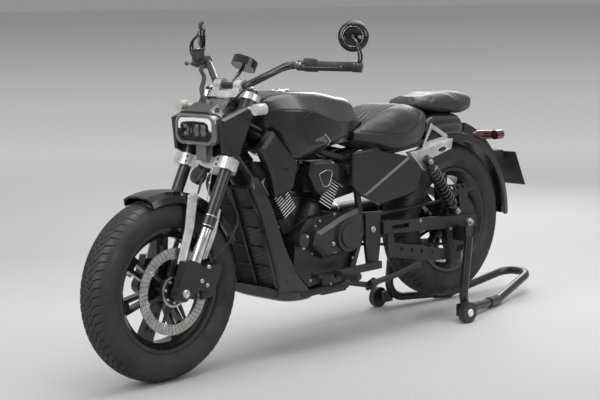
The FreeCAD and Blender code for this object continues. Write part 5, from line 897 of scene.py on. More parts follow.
@dataclass
class ForkParts(Assembly):
    """The small parts of the fork: chrome, seals, pinch bolts, caps and the axle's ends.

    Lengths are millimetres. A clamp has its base, its height and its block's half width. The
    pinch bolts' shares are two of the height and one of the half width.
    """

    spread: float = 106.0
    offset: float = 36.0
    clamps: Sequence[Point] = ((452, 42, 36), (712, 24, 32.4))
    bolt_shares: Point = (0.27, 0.73, 0.76)
    bolt_ahead: float = 18.0
    cap_height: float = 752.0
    axle: Pair = (1520.0, 320.0)
    axle_face: float = 135.6
    bracket_face: float = 124.2
    axle_screws: Sequence[Pair] = ((1407, 397), (1416, 334), (1440, 352))
    body: str = "steering"

    def build(self) -> None:
        """Make the parts of both legs."""
        chrome, seals, bolts, dark = Shaper(), Shaper(), Shaper(), Shaper()
        up, ahead = fork(0, 0, 1) - fork(0, 0, 0), fork(1, 0, 0) - fork(0, 0, 0)
        up.normalize()
        ahead.normalize()
        for side in (1, -1):
            y = side * self.spread
            low = fork(self.offset, y, 0)
            chrome.lathe(low, up, ((0.01872, 0.116), (0.01905, 0.118), (0.01905, 0.2445),
                                   (0.01872, 0.2448)), 48, True)
            for height in (0.2475, 0.284):
                chrome.lathe(low, up, ((0.0246, height - 0.0016), (0.0256, height - 0.001),
                                       (0.0256, height + 0.001), (0.0246, height + 0.0016)),
                             40, True)
            seals.lathe(low, up, ((0.0192, 0.2385), (0.0225, 0.2395), (0.0238, 0.2445),
                                  (0.0192, 0.2445)), 40, True)
            for base, tall, block in self.clamps:
                inward = side * block * self.bolt_shares[2]
                for share in self.bolt_shares[:2]:
                    spot = fork(self.offset + self.bolt_ahead, y - inward, base + tall * share)
                    dark.bolt(spot, ahead, 0.0036, Head.SOCKET)
            cap = fork(self.offset, y, self.cap_height)
            bolts.lathe(cap, up, ((0.0, 0.0), (0.0195, 0.0), (0.0195, 0.003), (0.017, 0.0045),
                                  (0.0, 0.0045)), 40)
            bolts.bar(cap + up * 0.004, cap + up * 0.0105, 0.0118, 0.0112, 6, 0.0006)
            bolts.lathe(cap, up, ((0.0, 0.0105), (0.006, 0.0105), (0.006, 0.0145),
                                  (0.004, 0.0155), (0.0, 0.0155)), 24)
        for side in (1, -1):
            hub = place(self.axle[0], side * self.axle_face, self.axle[1])
            bolts.lathe(hub, LEFT * side, (
                (0.006, -0.008), (0.006, 0.0), (0.0078, 0.0022), (0.0125, 0.0022),
                (0.0142, 0.0), (0.0142, -0.008)), 32, True)
        for side in (1, -1):
            for x, z in self.axle_screws:
                bolts.bolt(place(x, side * self.bracket_face, z), LEFT * side, 0.0056,
                           Head.SOCKET)
        self.piece("stanchion_chrome", chrome, CHROME, "fork_legs")
        self.piece("fork_seals", seals, GRIP, "fork_tubes")
        self.piece("fork_bolts", bolts, BARE_STEEL, "front_axle")
        self.piece("pinch_bolts", dark, DARK_STEEL, "fork_clamps")
        self.horn(up, ahead)

    def horn(self, up: Vector, ahead: Vector) -> None:
        """The hose bracket and the horn under the lower clamp."""
        shape = Shaper()
        turn = standing(up)
        shape.block(fork(52, 12, 446), (0.006, 0.058, 0.012), turn, 0.001)
        shape.block(fork(56, 24, 428), (0.014, 0.022, 0.03), turn, 0.003)
        shape.bar(fork(30, -14, 421), fork(56, -14, 421), 0.031, 0.03, 36, 0.003)
        shape.bar(fork(56, -14, 421), fork(60, -14, 421), 0.012, 0.01, 24, 0.001)
        shape.prism([fork(57, 18, 418), fork(57, 34, 418), fork(52, 30, 352),
                     fork(52, 24, 352)], ahead * 0.003, 0.0006)
        self.piece("horn", shape, MATT_PLASTIC, "fork_clamps")
        line = Shaper()
        line.sweep(eased([fork(60, 66, 446), fork(62, 72, 420), fork(56, 75, 372),
                          fork(46, 76, 330)], 8), 0.0017, 8)
        for spot in (fork(60, 66, 447), fork(59, 73, 396)):
            line.bar(spot - up * 0.005, spot + up * 0.005, 0.0038, None, 12, 0.0006)
        self.piece("brake_pipe", line, BARE_STEEL, "brake_hose")


@dataclass
class Bars(Assembly):
    """Grips, levers, switches, the fluid cup, mirrors and the small parts at the bar.

    The left end's place and run are the bar's own in CAD, and the right's mirror them. The
    levers stand ahead of the bar the way that it faces, seen from above.
    """

    end: Point = (972.0, 402.0, 1066.0)
    run: Point = (-0.5198, 0.8537, -0.0303)
    facing: Pair = (0.854, 0.52)
    ribs: int = 14
    rib_pitch: float = 0.0078
    lever_root: float = 0.0085
    lever_taper: float = 0.0035
    body: str = "steering"

    def at(self, side: int, back: float, ahead: float = 0.0, up: float = 0.0) -> Vector:
        """A place beside the bar, measured back from its end, ahead of it and up."""
        x, y, z = self.end
        dx, dy, dz = self.run
        fx, fy = self.facing
        return place(x - dx * back + fx * ahead, side * (y - dy * back + fy * ahead),
                     z - dz * back + up)

    def lines(self, side: int) -> tuple[Vector, Vector]:
        """The directions out along the bar and ahead of it, on a side."""
        return (along(self.run[0], side * self.run[1], self.run[2]),
                along(self.facing[0], side * self.facing[1], 0.0))

    def build(self) -> None:
        """Make the pieces of both sides."""
        self.grips()
        self.controls()
        self.fasteners()
        for side, name in ((1, "left"), (-1, "right")):
            self.mirror(side, name)

    def grips(self) -> None:
        """Ribbed rubber sleeves with a flange, and the turned weights at their ends."""
        shape, ends = Shaper(), Shaper()
        for side in (1, -1):
            out = self.lines(side)[0]
            foot = self.at(side, 128)
            outline = [(0.0126, 0.0), (0.0215, 0.0), (0.0215, 0.0035), (0.0172, 0.006)]
            for rib in range(self.ribs):
                start = 0.012 + rib * self.rib_pitch
                outline += [(0.0158, start), (0.0172, start + 0.0012), (0.0172, start + 0.0052),
                            (0.0158, start + 0.0064)]
            outline += [(0.0168, 0.124), (0.0168, 0.1275), (0.0126, 0.1275)]
            shape.lathe(foot, out, outline, 32, True)
            ends.lathe(self.at(side, 0), out, (
                (0.0, 0.0), (0.0175, 0.0), (0.019, 0.0015), (0.019, 0.0125), (0.0175, 0.014),
                (0.0, 0.014)), 36)
            cap = self.at(side, -30)
            ends.lathe(cap, out, ((0.0, 0.0), (0.0175, 0.0), (0.0165, 0.003), (0.008, 0.004),
                                  (0.0065, 0.001), (0.0, 0.001)), 36)
        self.piece("grip_sleeves", shape, GRIP, "grips", ["grips"])
        self.piece("bar_ends", ends, SATIN_BLACK, "grips")

    def controls(self) -> None:
        """The perches, levers, switch housings and the cup of brake fluid."""
        shape, levers, bright = Shaper(), Shaper(), Shaper()
        for side in (1, -1):
            out, ahead = self.lines(side)
            turn = Matrix((ahead, out.cross(ahead), out)).transposed().to_4x4()
            shape.lathe(self.at(side, 196.8), out, (
                (0.0127, 0.0), (0.0168, 0.0), (0.018, 0.0012), (0.018, 0.0248),
                (0.0168, 0.026), (0.0127, 0.026)), 32, True)
            shape.block(self.at(side, 184, 24), (0.03, 0.02, 0.024), turn, 0.003)
            shape.block(self.at(side, 176, 42, -2), (0.026, 0.016, 0.04), turn, 0.004)
            shape.lathe(self.at(side, 170.4), out, (
                (0.0127, 0.0), (0.019, 0.0), (0.021, 0.002), (0.021, 0.04), (0.019, 0.042),
                (0.0127, 0.042)), 36, True)
            shape.block(self.at(side, 150, 2, 10), (0.044, 0.034, 0.04), turn, 0.006, 3)
            shape.block(self.at(side, 150, -20, 6), (0.012, 0.02, 0.03), turn, 0.003)
            for back, tall in ((158, 12), (148, 4), (140, 14)):
                bright.block(self.at(side, back, -27, tall), (0.005, 0.008, 0.007), turn,
                             0.0012)
            blade = [self.at(side, 178, 44, -2), self.at(side, 160, 52, -3),
                     self.at(side, 128, 50, -4), self.at(side, 88, 44, -4),
                     self.at(side, 54, 44, -3), self.at(side, 36, 48, -2)]
            line = eased(blade, 5)
            widths = [self.lever_root - self.lever_taper * i / (len(line) - 1)
                      for i in range(len(line))]
            levers.sweep(line, widths, 12, 0.55, ahead)
            levers.ball(self.at(side, 33, 48.5, -2), 0.0082)
            bright.bolt(self.at(side, 178, 46, 7), UP, 0.0045)
            for back in (190, 178):
                bright.bolt(self.at(side, back, 33, 10), UP, 0.0032, Head.SOCKET)
            if side < 0:
                cup = self.at(side, 183, 30, 27)
                shape.block(cup, (0.036, 0.034, 0.04), None, 0.004, 3)
                shape.block(cup + Vector((0, 0, 0.0225)), (0.04, 0.038, 0.007), None, 0.002)
                for dx, dy in ((0.013, 0.012), (-0.013, -0.012)):
                    bright.bolt(cup + Vector((dx, dy, 0.026)), UP, 0.0026, Head.DOME)
        self.piece("hand_controls", shape, MATT_PLASTIC, "bar_controls",
                   ["bar_controls"])
        self.piece("hand_levers", levers, SATIN_BLACK, "bar_controls")
        self.piece("control_screws", bright, BARE_STEEL, "bar_controls")

    def fasteners(self) -> None:
        """Cap bolts on the risers, ties round the cables and the stem's nut."""
        bolts, ties = Shaper(), Shaper()
        up = along(-0.4462, 0, 0.8949)
        ahead = along(0.8949, 0, 0.4462)
        for y in (52, -52):
            for dx in (17.5, -17.5):
                for dy in (-9, 9):
                    spot = place(1172, y + dy, 1000) + ahead * dx / 1000 + up * 0.019
                    bolts.bolt(spot, up, 0.0035, Head.SOCKET)
        bolts.lathe(fork(0, 0, 736), up, ((0.0, 0.0), (0.019, 0.0), (0.019, 0.002),
                                          (0.0155, 0.003), (0.0155, 0.012), (0.013, 0.0135),
                                          (0.007, 0.0135), (0.007, 0.006), (0.0, 0.006)), 36)
        for side in (-1, 1):
            ties.lathe(self.at(side, 214), self.lines(side)[0], (
                (0.0127, 0), (0.0142, 0), (0.0142, 0.005), (0.0127, 0.005)), 24, True)
        self.piece("riser_bolts", bolts, BARE_STEEL, "fork_clamps")
        self.piece("cable_ties", ties, MATT_PLASTIC, "control_cables")

    def mirror(self, side: int, name: str) -> None:
        """A round mirror that faces the rider, its dished back and its slotted stem."""
        middle = place(958, side * 392, 1170)
        out = along(0.80, side * 0.60, 0.0)
        run = self.lines(side)[0]
        shell, chrome, glass, stem = Shaper(), Shaper(), Shaper(), Shaper()
        shell.lathe(middle, out, (
            (0.0, -0.009), (0.049, -0.009), (0.0525, -0.0105), (0.0538, -0.008), (0.0534, 0.0),
            (0.050, 0.0065), (0.044, 0.0105), (0.037, 0.012), (0.0335, 0.0115),
            (0.031, 0.006), (0.024, 0.0025), (0.0, 0.001)), 56)
        chrome.lathe(middle, out, ((0.0335, 0.0116), (0.0342, 0.0128), (0.0355, 0.0128),
                                   (0.0358, 0.0116)), 48, True)
        glass.lathe(middle, out, ((0.0, -0.0098), (0.0488, -0.0094), (0.0488, -0.0090),
                                  (0.0, -0.0088)), 56)
        ball = middle + out * 0.0125
        stem.ball(ball, 0.0075)
        stem.bar(middle + out * 0.001, ball, 0.006, 0.005, 20)
        foot = self.at(side, -22)
        stem.lathe(foot - run * 0.008, run, ((0.0, 0.0), (0.018, 0.0), (0.019, 0.001),
                                             (0.019, 0.015), (0.018, 0.016), (0.0, 0.016)), 36)
        rails = []
        for shift in (-0.006, 0.006):
            rails.append([foot + Vector((shift, 0, 0.012)),
                          foot + Vector((0.008 + shift * 1.2, side * 0.013, 0.033)),
                          foot + Vector((0.014 + shift, side * 0.012, 0.062)),
                          foot + Vector((0.013 + shift * 0.5, side * 0.002, 0.086)),
                          ball + Vector((0.002 + shift * 0.3, 0, -0.003))])
            stem.sweep(eased(rails[-1], 6), 0.0037, 10)
        stem.ball((rails[0][0] + rails[1][0]) / 2, 0.011, (1.0, 0.8, 0.9))
        stem.sweep(eased([(a + b) / 2 for a, b in zip(rails[0][2:], rails[1][2:])], 6), 0.0052,
                   10)
        self.piece(f"mirror_shell_{name}", shell, GLOSS_BLACK, "mirrors",
                   ["mirrors"] if side > 0 else [])
        self.piece(f"mirror_ring_{name}", chrome, CHROME, "mirrors")
        self.piece(f"mirror_glass_{name}", glass, MIRROR, "mirrors")
        self.piece(f"mirror_stem_{name}", stem, SATIN_BLACK, "mirrors")


@dataclass
class Lamp(Assembly):
    """The inside of the headlamp, its glass, the gauge's face and the indicators' lenses.

    A cluster is a place across the lamp and a width, for an eye above and an eye below. The
    arch's places are across the lamp and up.
    """

    front: float = 1350.0
    height: float = 857.9
    marks: int = 25
    clusters: Sequence[Pair] = ((-54, 22), (5, 20), (38, 24))
    arch_outer: tuple[Pair, ...] = (
        (-88, 858), (-88, 884), (-76, 896), (-2, 899), (66, 898), (86, 891), (88, 852))
    arch_inner: tuple[Pair, ...] = (
        (72, 855), (66, 876), (47, 884), (-13, 886), (-67, 881), (-77, 874), (-78, 858))
    body: str = "steering"

    def at(self, back: float, y: float, up: float) -> Vector:
        """A place in the lamp: behind its front, across and above its middle."""
        return place(self.front - back, y, self.height + up)

    def build(self) -> None:
        """Make the lamp's pieces and the gauge's."""
        arch = Shaper()
        arch.prism([place(1343, y, z) for y, z in self.arch_outer + self.arch_inner],
                   AHEAD * 0.004, 0.0008)
        self.piece("lamp_arch", arch, LIGHT_BAR, "headlight", smooth=60)
        inner, bright, eyes = Shaper(), Shaper(), Shaper()
        inner.block(self.at(11.5, 0, 0), (0.004, 0.177, 0.083), None, 0.001)
        inner.block(self.at(7.5, -74, -10), (0.006, 0.012, 0.05), None, 0.003)
        for y in (-33, 20):
            inner.block(self.at(8.0, y, -6), (0.005, 0.007, 0.05), None, 0.002)
        for y, wide in self.clusters:
            for up, lean in ((8, 0.35), (-16, -0.35)):
                spot = self.at(9.4, y, up)
                bright.block(spot, (0.004, wide / 1000, 0.018), Matrix.Rotation(lean, 4, "Y"),
                             0.0014)
                eyes.ball(spot + Vector((0.003, 0, 0)), 0.0068, (0.5, 1.25, 1.0))
        self.piece("lamp_inner", inner, GLOSS_BLACK, "headlight")
        self.piece("lamp_reflectors", bright, REFLECTOR, "headlight")
        self.piece("lamp_eyes", eyes, EYE_GLASS, "headlight", smooth=80)
        self.rims()
        self.cowl()
        self.gauge()
        self.indicators()

    def outline(self, wide: float, tall: float, round_by: float, back: float) -> list[Vector]:
        """A rectangle with round corners, across the lamp."""
        corners = []
        for sy, sz, start in ((1, 1, 0), (-1, 1, 1), (-1, -1, 2), (1, -1, 3)):
            for step in range(7):
                turn = (start + step / 6) * math.pi / 2
                corners.append(self.at(back, sy * (wide - round_by)
                                       + round_by * math.cos(turn),
                                       sz * (tall - round_by) + round_by * math.sin(turn)))
        return corners

    def rims(self) -> None:
        """Fine lips round the lamp's face and its glass."""
        lips = Shaper()
        for wide, tall, back in ((100, 50.2, 2.2), (103.6, 53.4, 8.0)):
            ring = self.outline(wide, tall, 32, back)
            lips.sweep(ring + ring[:2], 0.0011, 8)
        self.piece("lamp_lips", lips, BARE_STEEL, "headlight", closed=False)
        glass = Shaper()
        glass.prism(self.outline(90, 42, 27, 4.4), Vector((0.0016, 0, 0)), 0.0005)
        self.piece("lamp_glass", glass, CLEAR_GLASS, "headlight", smooth=60)

    def cowl(self) -> None:
        """Screws and the small round recess on each side of the cowl."""
        dark, bright = Shaper(), Shaper()
        for side in (1, -1):
            out = along(0.25, side * 0.9, 0.35)
            spot = place(1311, side * 79, 926)
            dark.lathe(spot, out, ((0.0, -0.002), (0.008, -0.002), (0.008, 0.0016),
                                   (0.0065, 0.0016), (0.006, 0.0), (0.0, 0.0)), 28)
            bright.bolt(place(1334, side * 84, 919), out, 0.003, Head.DOME)
        self.piece("cowl_recesses", dark, MATT_PLASTIC, "headlight_cowl")
        self.piece("cowl_screws", bright, BARE_STEEL, "headlight_cowl")

    def gauge(self) -> None:
        """The gauge's bezel, dial with marks, needle and glass."""
        up = along(-0.5, 0, 0.866)
        foot = place(1112, 0, 1062)
        bezel, dial, marks, cover = Shaper(), Shaper(), Shaper(), Shaper()
        bezel.lathe(foot, up, ((0.0415, 0.026), (0.046, 0.026), (0.0462, 0.029),
                               (0.0445, 0.0312), (0.0425, 0.0308), (0.0415, 0.0295)), 64, True)
        dial.lathe(foot, up, ((0.0, 0.0292), (0.0414, 0.0292), (0.0414, 0.0300),
                              (0.0, 0.0302)), 64)
        turn = standing(up)
        for i in range(self.marks):
            angle = math.radians(-120 + i * 240 / (self.marks - 1))
            reach = 0.035 if i % 4 else 0.033
            spot = Vector((math.cos(angle), math.sin(angle), 0)) * reach
            size = (0.004 if i % 4 else 0.007, 0.0009, 0.0004)
            marks.block(foot + turn @ (spot + Vector((0, 0, 0.0303))), size,
                        turn @ Matrix.Rotation(angle, 4, "Z"), 0.0001, 1)
        angle = math.radians(-108)
        marks.block(foot + turn @ (Vector((math.cos(angle), math.sin(angle), 0)) * 0.012
                                   + Vector((0, 0, 0.0309))), (0.03, 0.0016, 0.0006),
                    turn @ Matrix.Rotation(angle, 4, "Z"), 0.0002, 1)
        cover.lathe(foot, up, ((0.0, 0.0322), (0.02, 0.0320), (0.0416, 0.0309),
                               (0.0416, 0.0313), (0.02, 0.0324), (0.0, 0.0326)), 64)
        self.piece("gauge_bezel", bezel, DARK_STEEL, "instrument")
        self.piece("gauge_dial", dial, MATT_PLASTIC, "instrument")
        self.piece("gauge_marks", marks, WHITE_MARK, "instrument")
        self.piece("gauge_glass", cover, CLEAR_GLASS, "instrument")

    def indicators(self) -> None:
        """Rounded clear lenses over the indicators' cases, with their sockets behind."""
        lens, socket = Shaper(), Shaper()
        for side in (1, -1):
            spot = place(1227, side * 200, 927)
            lens.lathe(spot, AHEAD, (
                (0.0, 0.0222), (0.008, 0.0219), (0.015, 0.0195), (0.0192, 0.0145),
                (0.0206, 0.006), (0.0206, 0.0), (0.0202, -0.001), (0.0, -0.001)), 32)
            socket.lathe(spot, AHEAD, (
                (0.0, -0.0222), (0.011, -0.0218), (0.0175, -0.017), (0.0204, -0.008),
                (0.0206, -0.0012), (0.0202, -0.0008), (0.0, -0.0008)), 32)
        self.piece("indicator_lenses", lens, LENS_CLEAR, "front_indicators",
                   smooth=70)
        self.piece("indicator_sockets", socket, LENS_CLEAR, "front_indicators",
                   smooth=70)


@dataclass
class EngineParts(Assembly):
    """The small parts of the engine: screws, leads, hoses and inlays.

    Places are seen from a side. A hose has three such places, how far it lies from the
    middle plane and its radius in metres.
    """

    cover: Sequence[Pair] = ((848, 465), (824, 482), (745, 498), (930, 441),
                                            (914, 391), (869, 367))
    left_screws: Sequence[Pair] = ((979, 472), (881, 266), (786, 241),
                                                  (706, 245))
    plug: Pair = (803, 400)
    pivot: Pair = (572, 425)
    shield: Sequence[Pair] = (
        (872, 665), (838, 677), (806, 672), (808, 650), (821, 622), (844, 617), (857, 629),
        (869, 655))
    lines: Sequence[tuple[Pair, Pair, Pair, float, float]] = (
        ((842, 690), (846, 640), (846, 610), 96, 0.0042),
        ((760, 730), (742, 700), (738, 668), 70, 0.0045),
        ((905, 720), (936, 690), (962, 640), 92, 0.0034),
        ((1048, 640), (1010, 612), (985, 560), 84, 0.008),
        ((1058, 420), (1012, 400), (985, 380), 74, 0.009),
        ((930, 470), (900, 500), (866, 520), 88, 0.0036))

    def build(self) -> None:
        """Make the engine's pieces."""
        self.screws()
        self.inlays()
        self.hoses()
        self.caps()

    def screws(self) -> None:
        """Screws round the covers, on the frame's plates and on the oil block."""
        bright, dark = Shaper(), Shaper()
        for side in (1, -1):
            side_bolts(bright, "crankcase", self.cover, side, 0.0042)
        side_bolts(bright, "crankcase cylinders", self.left_screws, 1, 0.004)
        side_bolts(bright, "crankcase", (self.plug,), 1, 0.0062, Head.SOCKET)
        for side in (1, -1):
            side_bolts(bright, "frame", ((671, 326), (559, 282)), side, 0.0052)
            side_bolts(dark, "frame head_covers cylinders", ((817, 708),), side,
                       0.006, Head.DOME)
            met = side_seat("frame", *self.pivot, side)
            bright.lathe(met.spot, met.out, ((0.0, -0.001), (0.0125, -0.001), (0.0125, 0.003),
                                             (0.0105, 0.0045), (0.009, 0.003), (0.0, 0.003)),
                         32)
            bright.bar(met.spot + met.out * 0.002, met.spot + met.out * 0.008, 0.0075, 0.007,
                       6, 0.0004)
        self.piece("engine_screws", bright, BARE_STEEL, "crankcase")
        self.piece("frame_screws", dark, DARK_STEEL, "frame")

    def inlays(self) -> None:
        """The pale outlines on the head covers, the crankcase's bright mark and its plug."""
        pale, dark = Shaper(), Shaper()
        for side in (1, -1):
            inlay(pale, "head_covers", self.shield, side, 0.0012, 2)
        met = side_seat("crankcase", 793, 365)
        pale.block(met.spot, (0.022, 0.0012, 0.002), Matrix.Rotation(-0.12, 4, "Y"), 0.0004)
        self.piece("head_cover_inlay", pale, BARE_STEEL, "head_covers")
        met = side_seat("crankcase", *self.plug)
        dark.lathe(met.spot, met.out, ((0.009, -0.0004), (0.013, -0.0004), (0.013, 0.0008),
                                         (0.0115, 0.0014), (0.009, 0.0008)), 36, True)
        self.piece("timing_plug", dark, DARK_STEEL, "crankcase")

    def hoses(self) -> None:
        """Leads to the heads, the clutch cable and the coolant hoses."""
        leads, clips = Shaper(), Shaper()
        for start, middle, end, y, radius in self.lines:
            spots = [place(start[0], y * 0.7, start[1]), place(middle[0], y, middle[1]),
                     place(end[0], y * 0.8, end[1])]
            line = eased(spots, 8)
            leads.sweep(line, radius, 12)
            run = (line[-1] - line[-3]).normalized()
            clips.lathe(line[-3], run, ((radius - 0.0002, 0.0), (radius + 0.0014, 0.0),
                                        (radius + 0.0014, 0.006), (radius - 0.0002, 0.006)),
                        20, True)
        self.piece("engine_hoses", leads, GRIP, "radiator")
        self.piece("hose_clips", clips, BARE_STEEL, "radiator")

    def caps(self) -> None:
        """The screws on the radiator's shroud and the front covers."""
        shape = Shaper()
        for side in (1, -1):
            side_bolts(shape, "radiator_shroud", ((1034, 292), (1146, 574)), side, 0.0052,
                       Head.DOME)
            side_bolts(shape, "front_covers", ((1040, 700),), side, 0.0052,
                       Head.SOCKET)
        self.piece("shroud_screws", shape, DARK_STEEL, "radiator_shroud")


@dataclass
class Tank(Assembly):
    """The tank's filler cap, knee lines and trim plates, and the side covers' screws."""

    cap: Pair = (930, 1200)
    cap_screws: int = 6
    knee: Sequence[Pair] = (
        (900, 905), (952, 876), (957, 841), (941, 804), (901, 768), (877, 765), (811, 780),
        (752, 812), (805, 867), (866, 897))
    plate: Sequence[Pair] = ((900, 793), (850, 808), (834, 784), (874, 764))
    edge: Sequence[Pair] = ((848, 812), (818, 784), (820, 768))

    def build(self) -> None:
        """Make the tank's pieces."""
        met = seat("fuel_tank", place(self.cap[0], 0, self.cap[1]), -UP)
        foot = met.spot + Vector((0, 0, -0.004))
        cap = Shaper()
        cap.lathe(foot, along(0.05, 0, 1), ((0.0, 0.0), (0.034, 0.0), (0.034, 0.0045),
                                            (0.031, 0.0062), (0.0285, 0.0058), (0.027, 0.0045),
                                            (0.0245, 0.0045), (0.0225, 0.0072), (0.009, 0.0078),
                                            (0.0, 0.0074)), 48)
        cap.block(foot + Vector((0, 0, 0.0082)), (0.011, 0.005, 0.0022), None, 0.0008)
        for i in range(self.cap_screws):
            turn = math.tau * (i + 0.5) / self.cap_screws
            cap.bolt(foot + Vector((math.cos(turn) * 0.0257, math.sin(turn) * 0.0257, 0.0043)),
                     UP, 0.0016, Head.SOCKET)
        self.piece("filler_cap", cap, CHROME, "fuel_tank")
        lines, plates, creases = Shaper(), Shaper(), Shaper()
        for side in (1, -1):
            inlay(creases, "fuel_tank", self.knee, side, 0.0008, 6)
            corners = [side_seat("fuel_tank", x, z, side).spot for x, z in self.plate]
            plates.prism([c - Vector((0, side * 0.0006, 0)) for c in corners],
                         Vector((0, side * 0.0022, 0)), 0.0006)
            lines.sweep([side_seat("fuel_tank", x, z, side).spot for x, z in self.edge],
                        0.0032, 8)
        self.piece("knee_creases", creases, DARK_STEEL, "fuel_tank")
        self.piece("trim_lines", lines, BARE_STEEL, "fuel_tank")
        self.piece("trim_plates", plates, TRIM_GREY, "fuel_tank")
        self.covers()

    def covers(self) -> None:
        """Fasteners on the side covers."""
        shape = Shaper()
        for side in (1, -1):
            side_bolts(shape, "side_covers", ((610, 705), (392, 640)), side, 0.0045, Head.DOME)
        self.piece("cover_screws", shape, DARK_STEEL, "side_covers")


@dataclass
class Shocks(Assembly):
    """The two rear shock absorbers with their coil springs.

    Their eyes' places are in millimetres. A coil's ends are how far it starts above the
    lower eye and stops below the upper one.
    """

    low: Point = (90.0, 148.0, 444.0)
    top: Point = (262.0, 148.0, 660.0)
    coils: float = 9.5
    coil_steps: int = 16
    coil_radius: float = 0.0228
    coil_ends: Pair = (0.0475, 0.0495)
    wire: float = 0.0042

    def build(self) -> None:
        """Make the dampers, the springs and the bolts."""
        dampers, springs, bolts = Shaper(), Shaper(), Shaper()
        for side in (1, -1):
            low = place(self.low[0], side * self.low[1], self.low[2])
            top = place(self.top[0], side * self.top[1], self.top[2])
            run = (top - low).normalized()
            tall = (top - low).length
            out = Vector((0, side, 0))
            for eye in (low, top):
                dampers.lathe(eye - out * 0.017, out, ((0.0085, 0.0), (0.016, 0.0),
                                                       (0.017, 0.0015), (0.017, 0.0325),
                                                       (0.016, 0.034), (0.0085, 0.034)), 32,
                              True)
                bolts.lathe(eye + out * 0.0165, out, ((0.0, 0.0), (0.0115, 0.0),
                                                      (0.0115, 0.002), (0.0, 0.002)), 28)
                bolts.bar(eye + out * 0.018, eye + out * 0.025, 0.0088, 0.0082, 6, 0.0005)
            dampers.lathe(low, run, (
                (0.0, 0.014), (0.013, 0.014), (0.017, 0.02), (0.017, 0.034), (0.026, 0.036),
                (0.027, 0.0375), (0.027, 0.042), (0.0255, 0.0435), (0.019, 0.0435),
                (0.0175, 0.05), (0.0175, tall * 0.5), (0.0155, tall * 0.5 + 0.002),
                (0.0075, tall * 0.5 + 0.003), (0.0075, tall - 0.05), (0.0195, tall - 0.049),
                (0.0265, tall - 0.047), (0.027, tall - 0.0455), (0.027, tall - 0.041),
                (0.0255, tall - 0.0395), (0.016, tall - 0.037), (0.013, tall - 0.014),
                (0.0, tall - 0.014)), 40)
            for i in range(3):
                dampers.lathe(low, run, ((0.0172, 0.052 + i * 0.009),
                                         (0.0205, 0.0535 + i * 0.009),
                                         (0.0205, 0.0575 + i * 0.009),
                                         (0.0172, 0.059 + i * 0.009)), 32, True)
            turn = standing(run)
            start, end = self.coil_ends[0], tall - self.coil_ends[1]
            steps = int(self.coils * self.coil_steps)
            coil = []
            for i in range(steps + 1):
                share = i / steps
                angle = share * self.coils * math.tau
                coil.append(low + turn @ Vector((math.cos(angle) * self.coil_radius,
                                                 math.sin(angle) * self.coil_radius,
                                                 start + (end - start) * share)))
            springs.sweep(coil, self.wire, 8)
        self.piece("shock_bodies", dampers, SATIN_BLACK, "shock_absorbers",
                   ["shock_absorbers"])
        self.piece("shock_springs", springs, SPRING, "shock_absorbers", smooth=60)
        self.piece("shock_bolts", bolts, BARE_STEEL, "shock_absorbers")


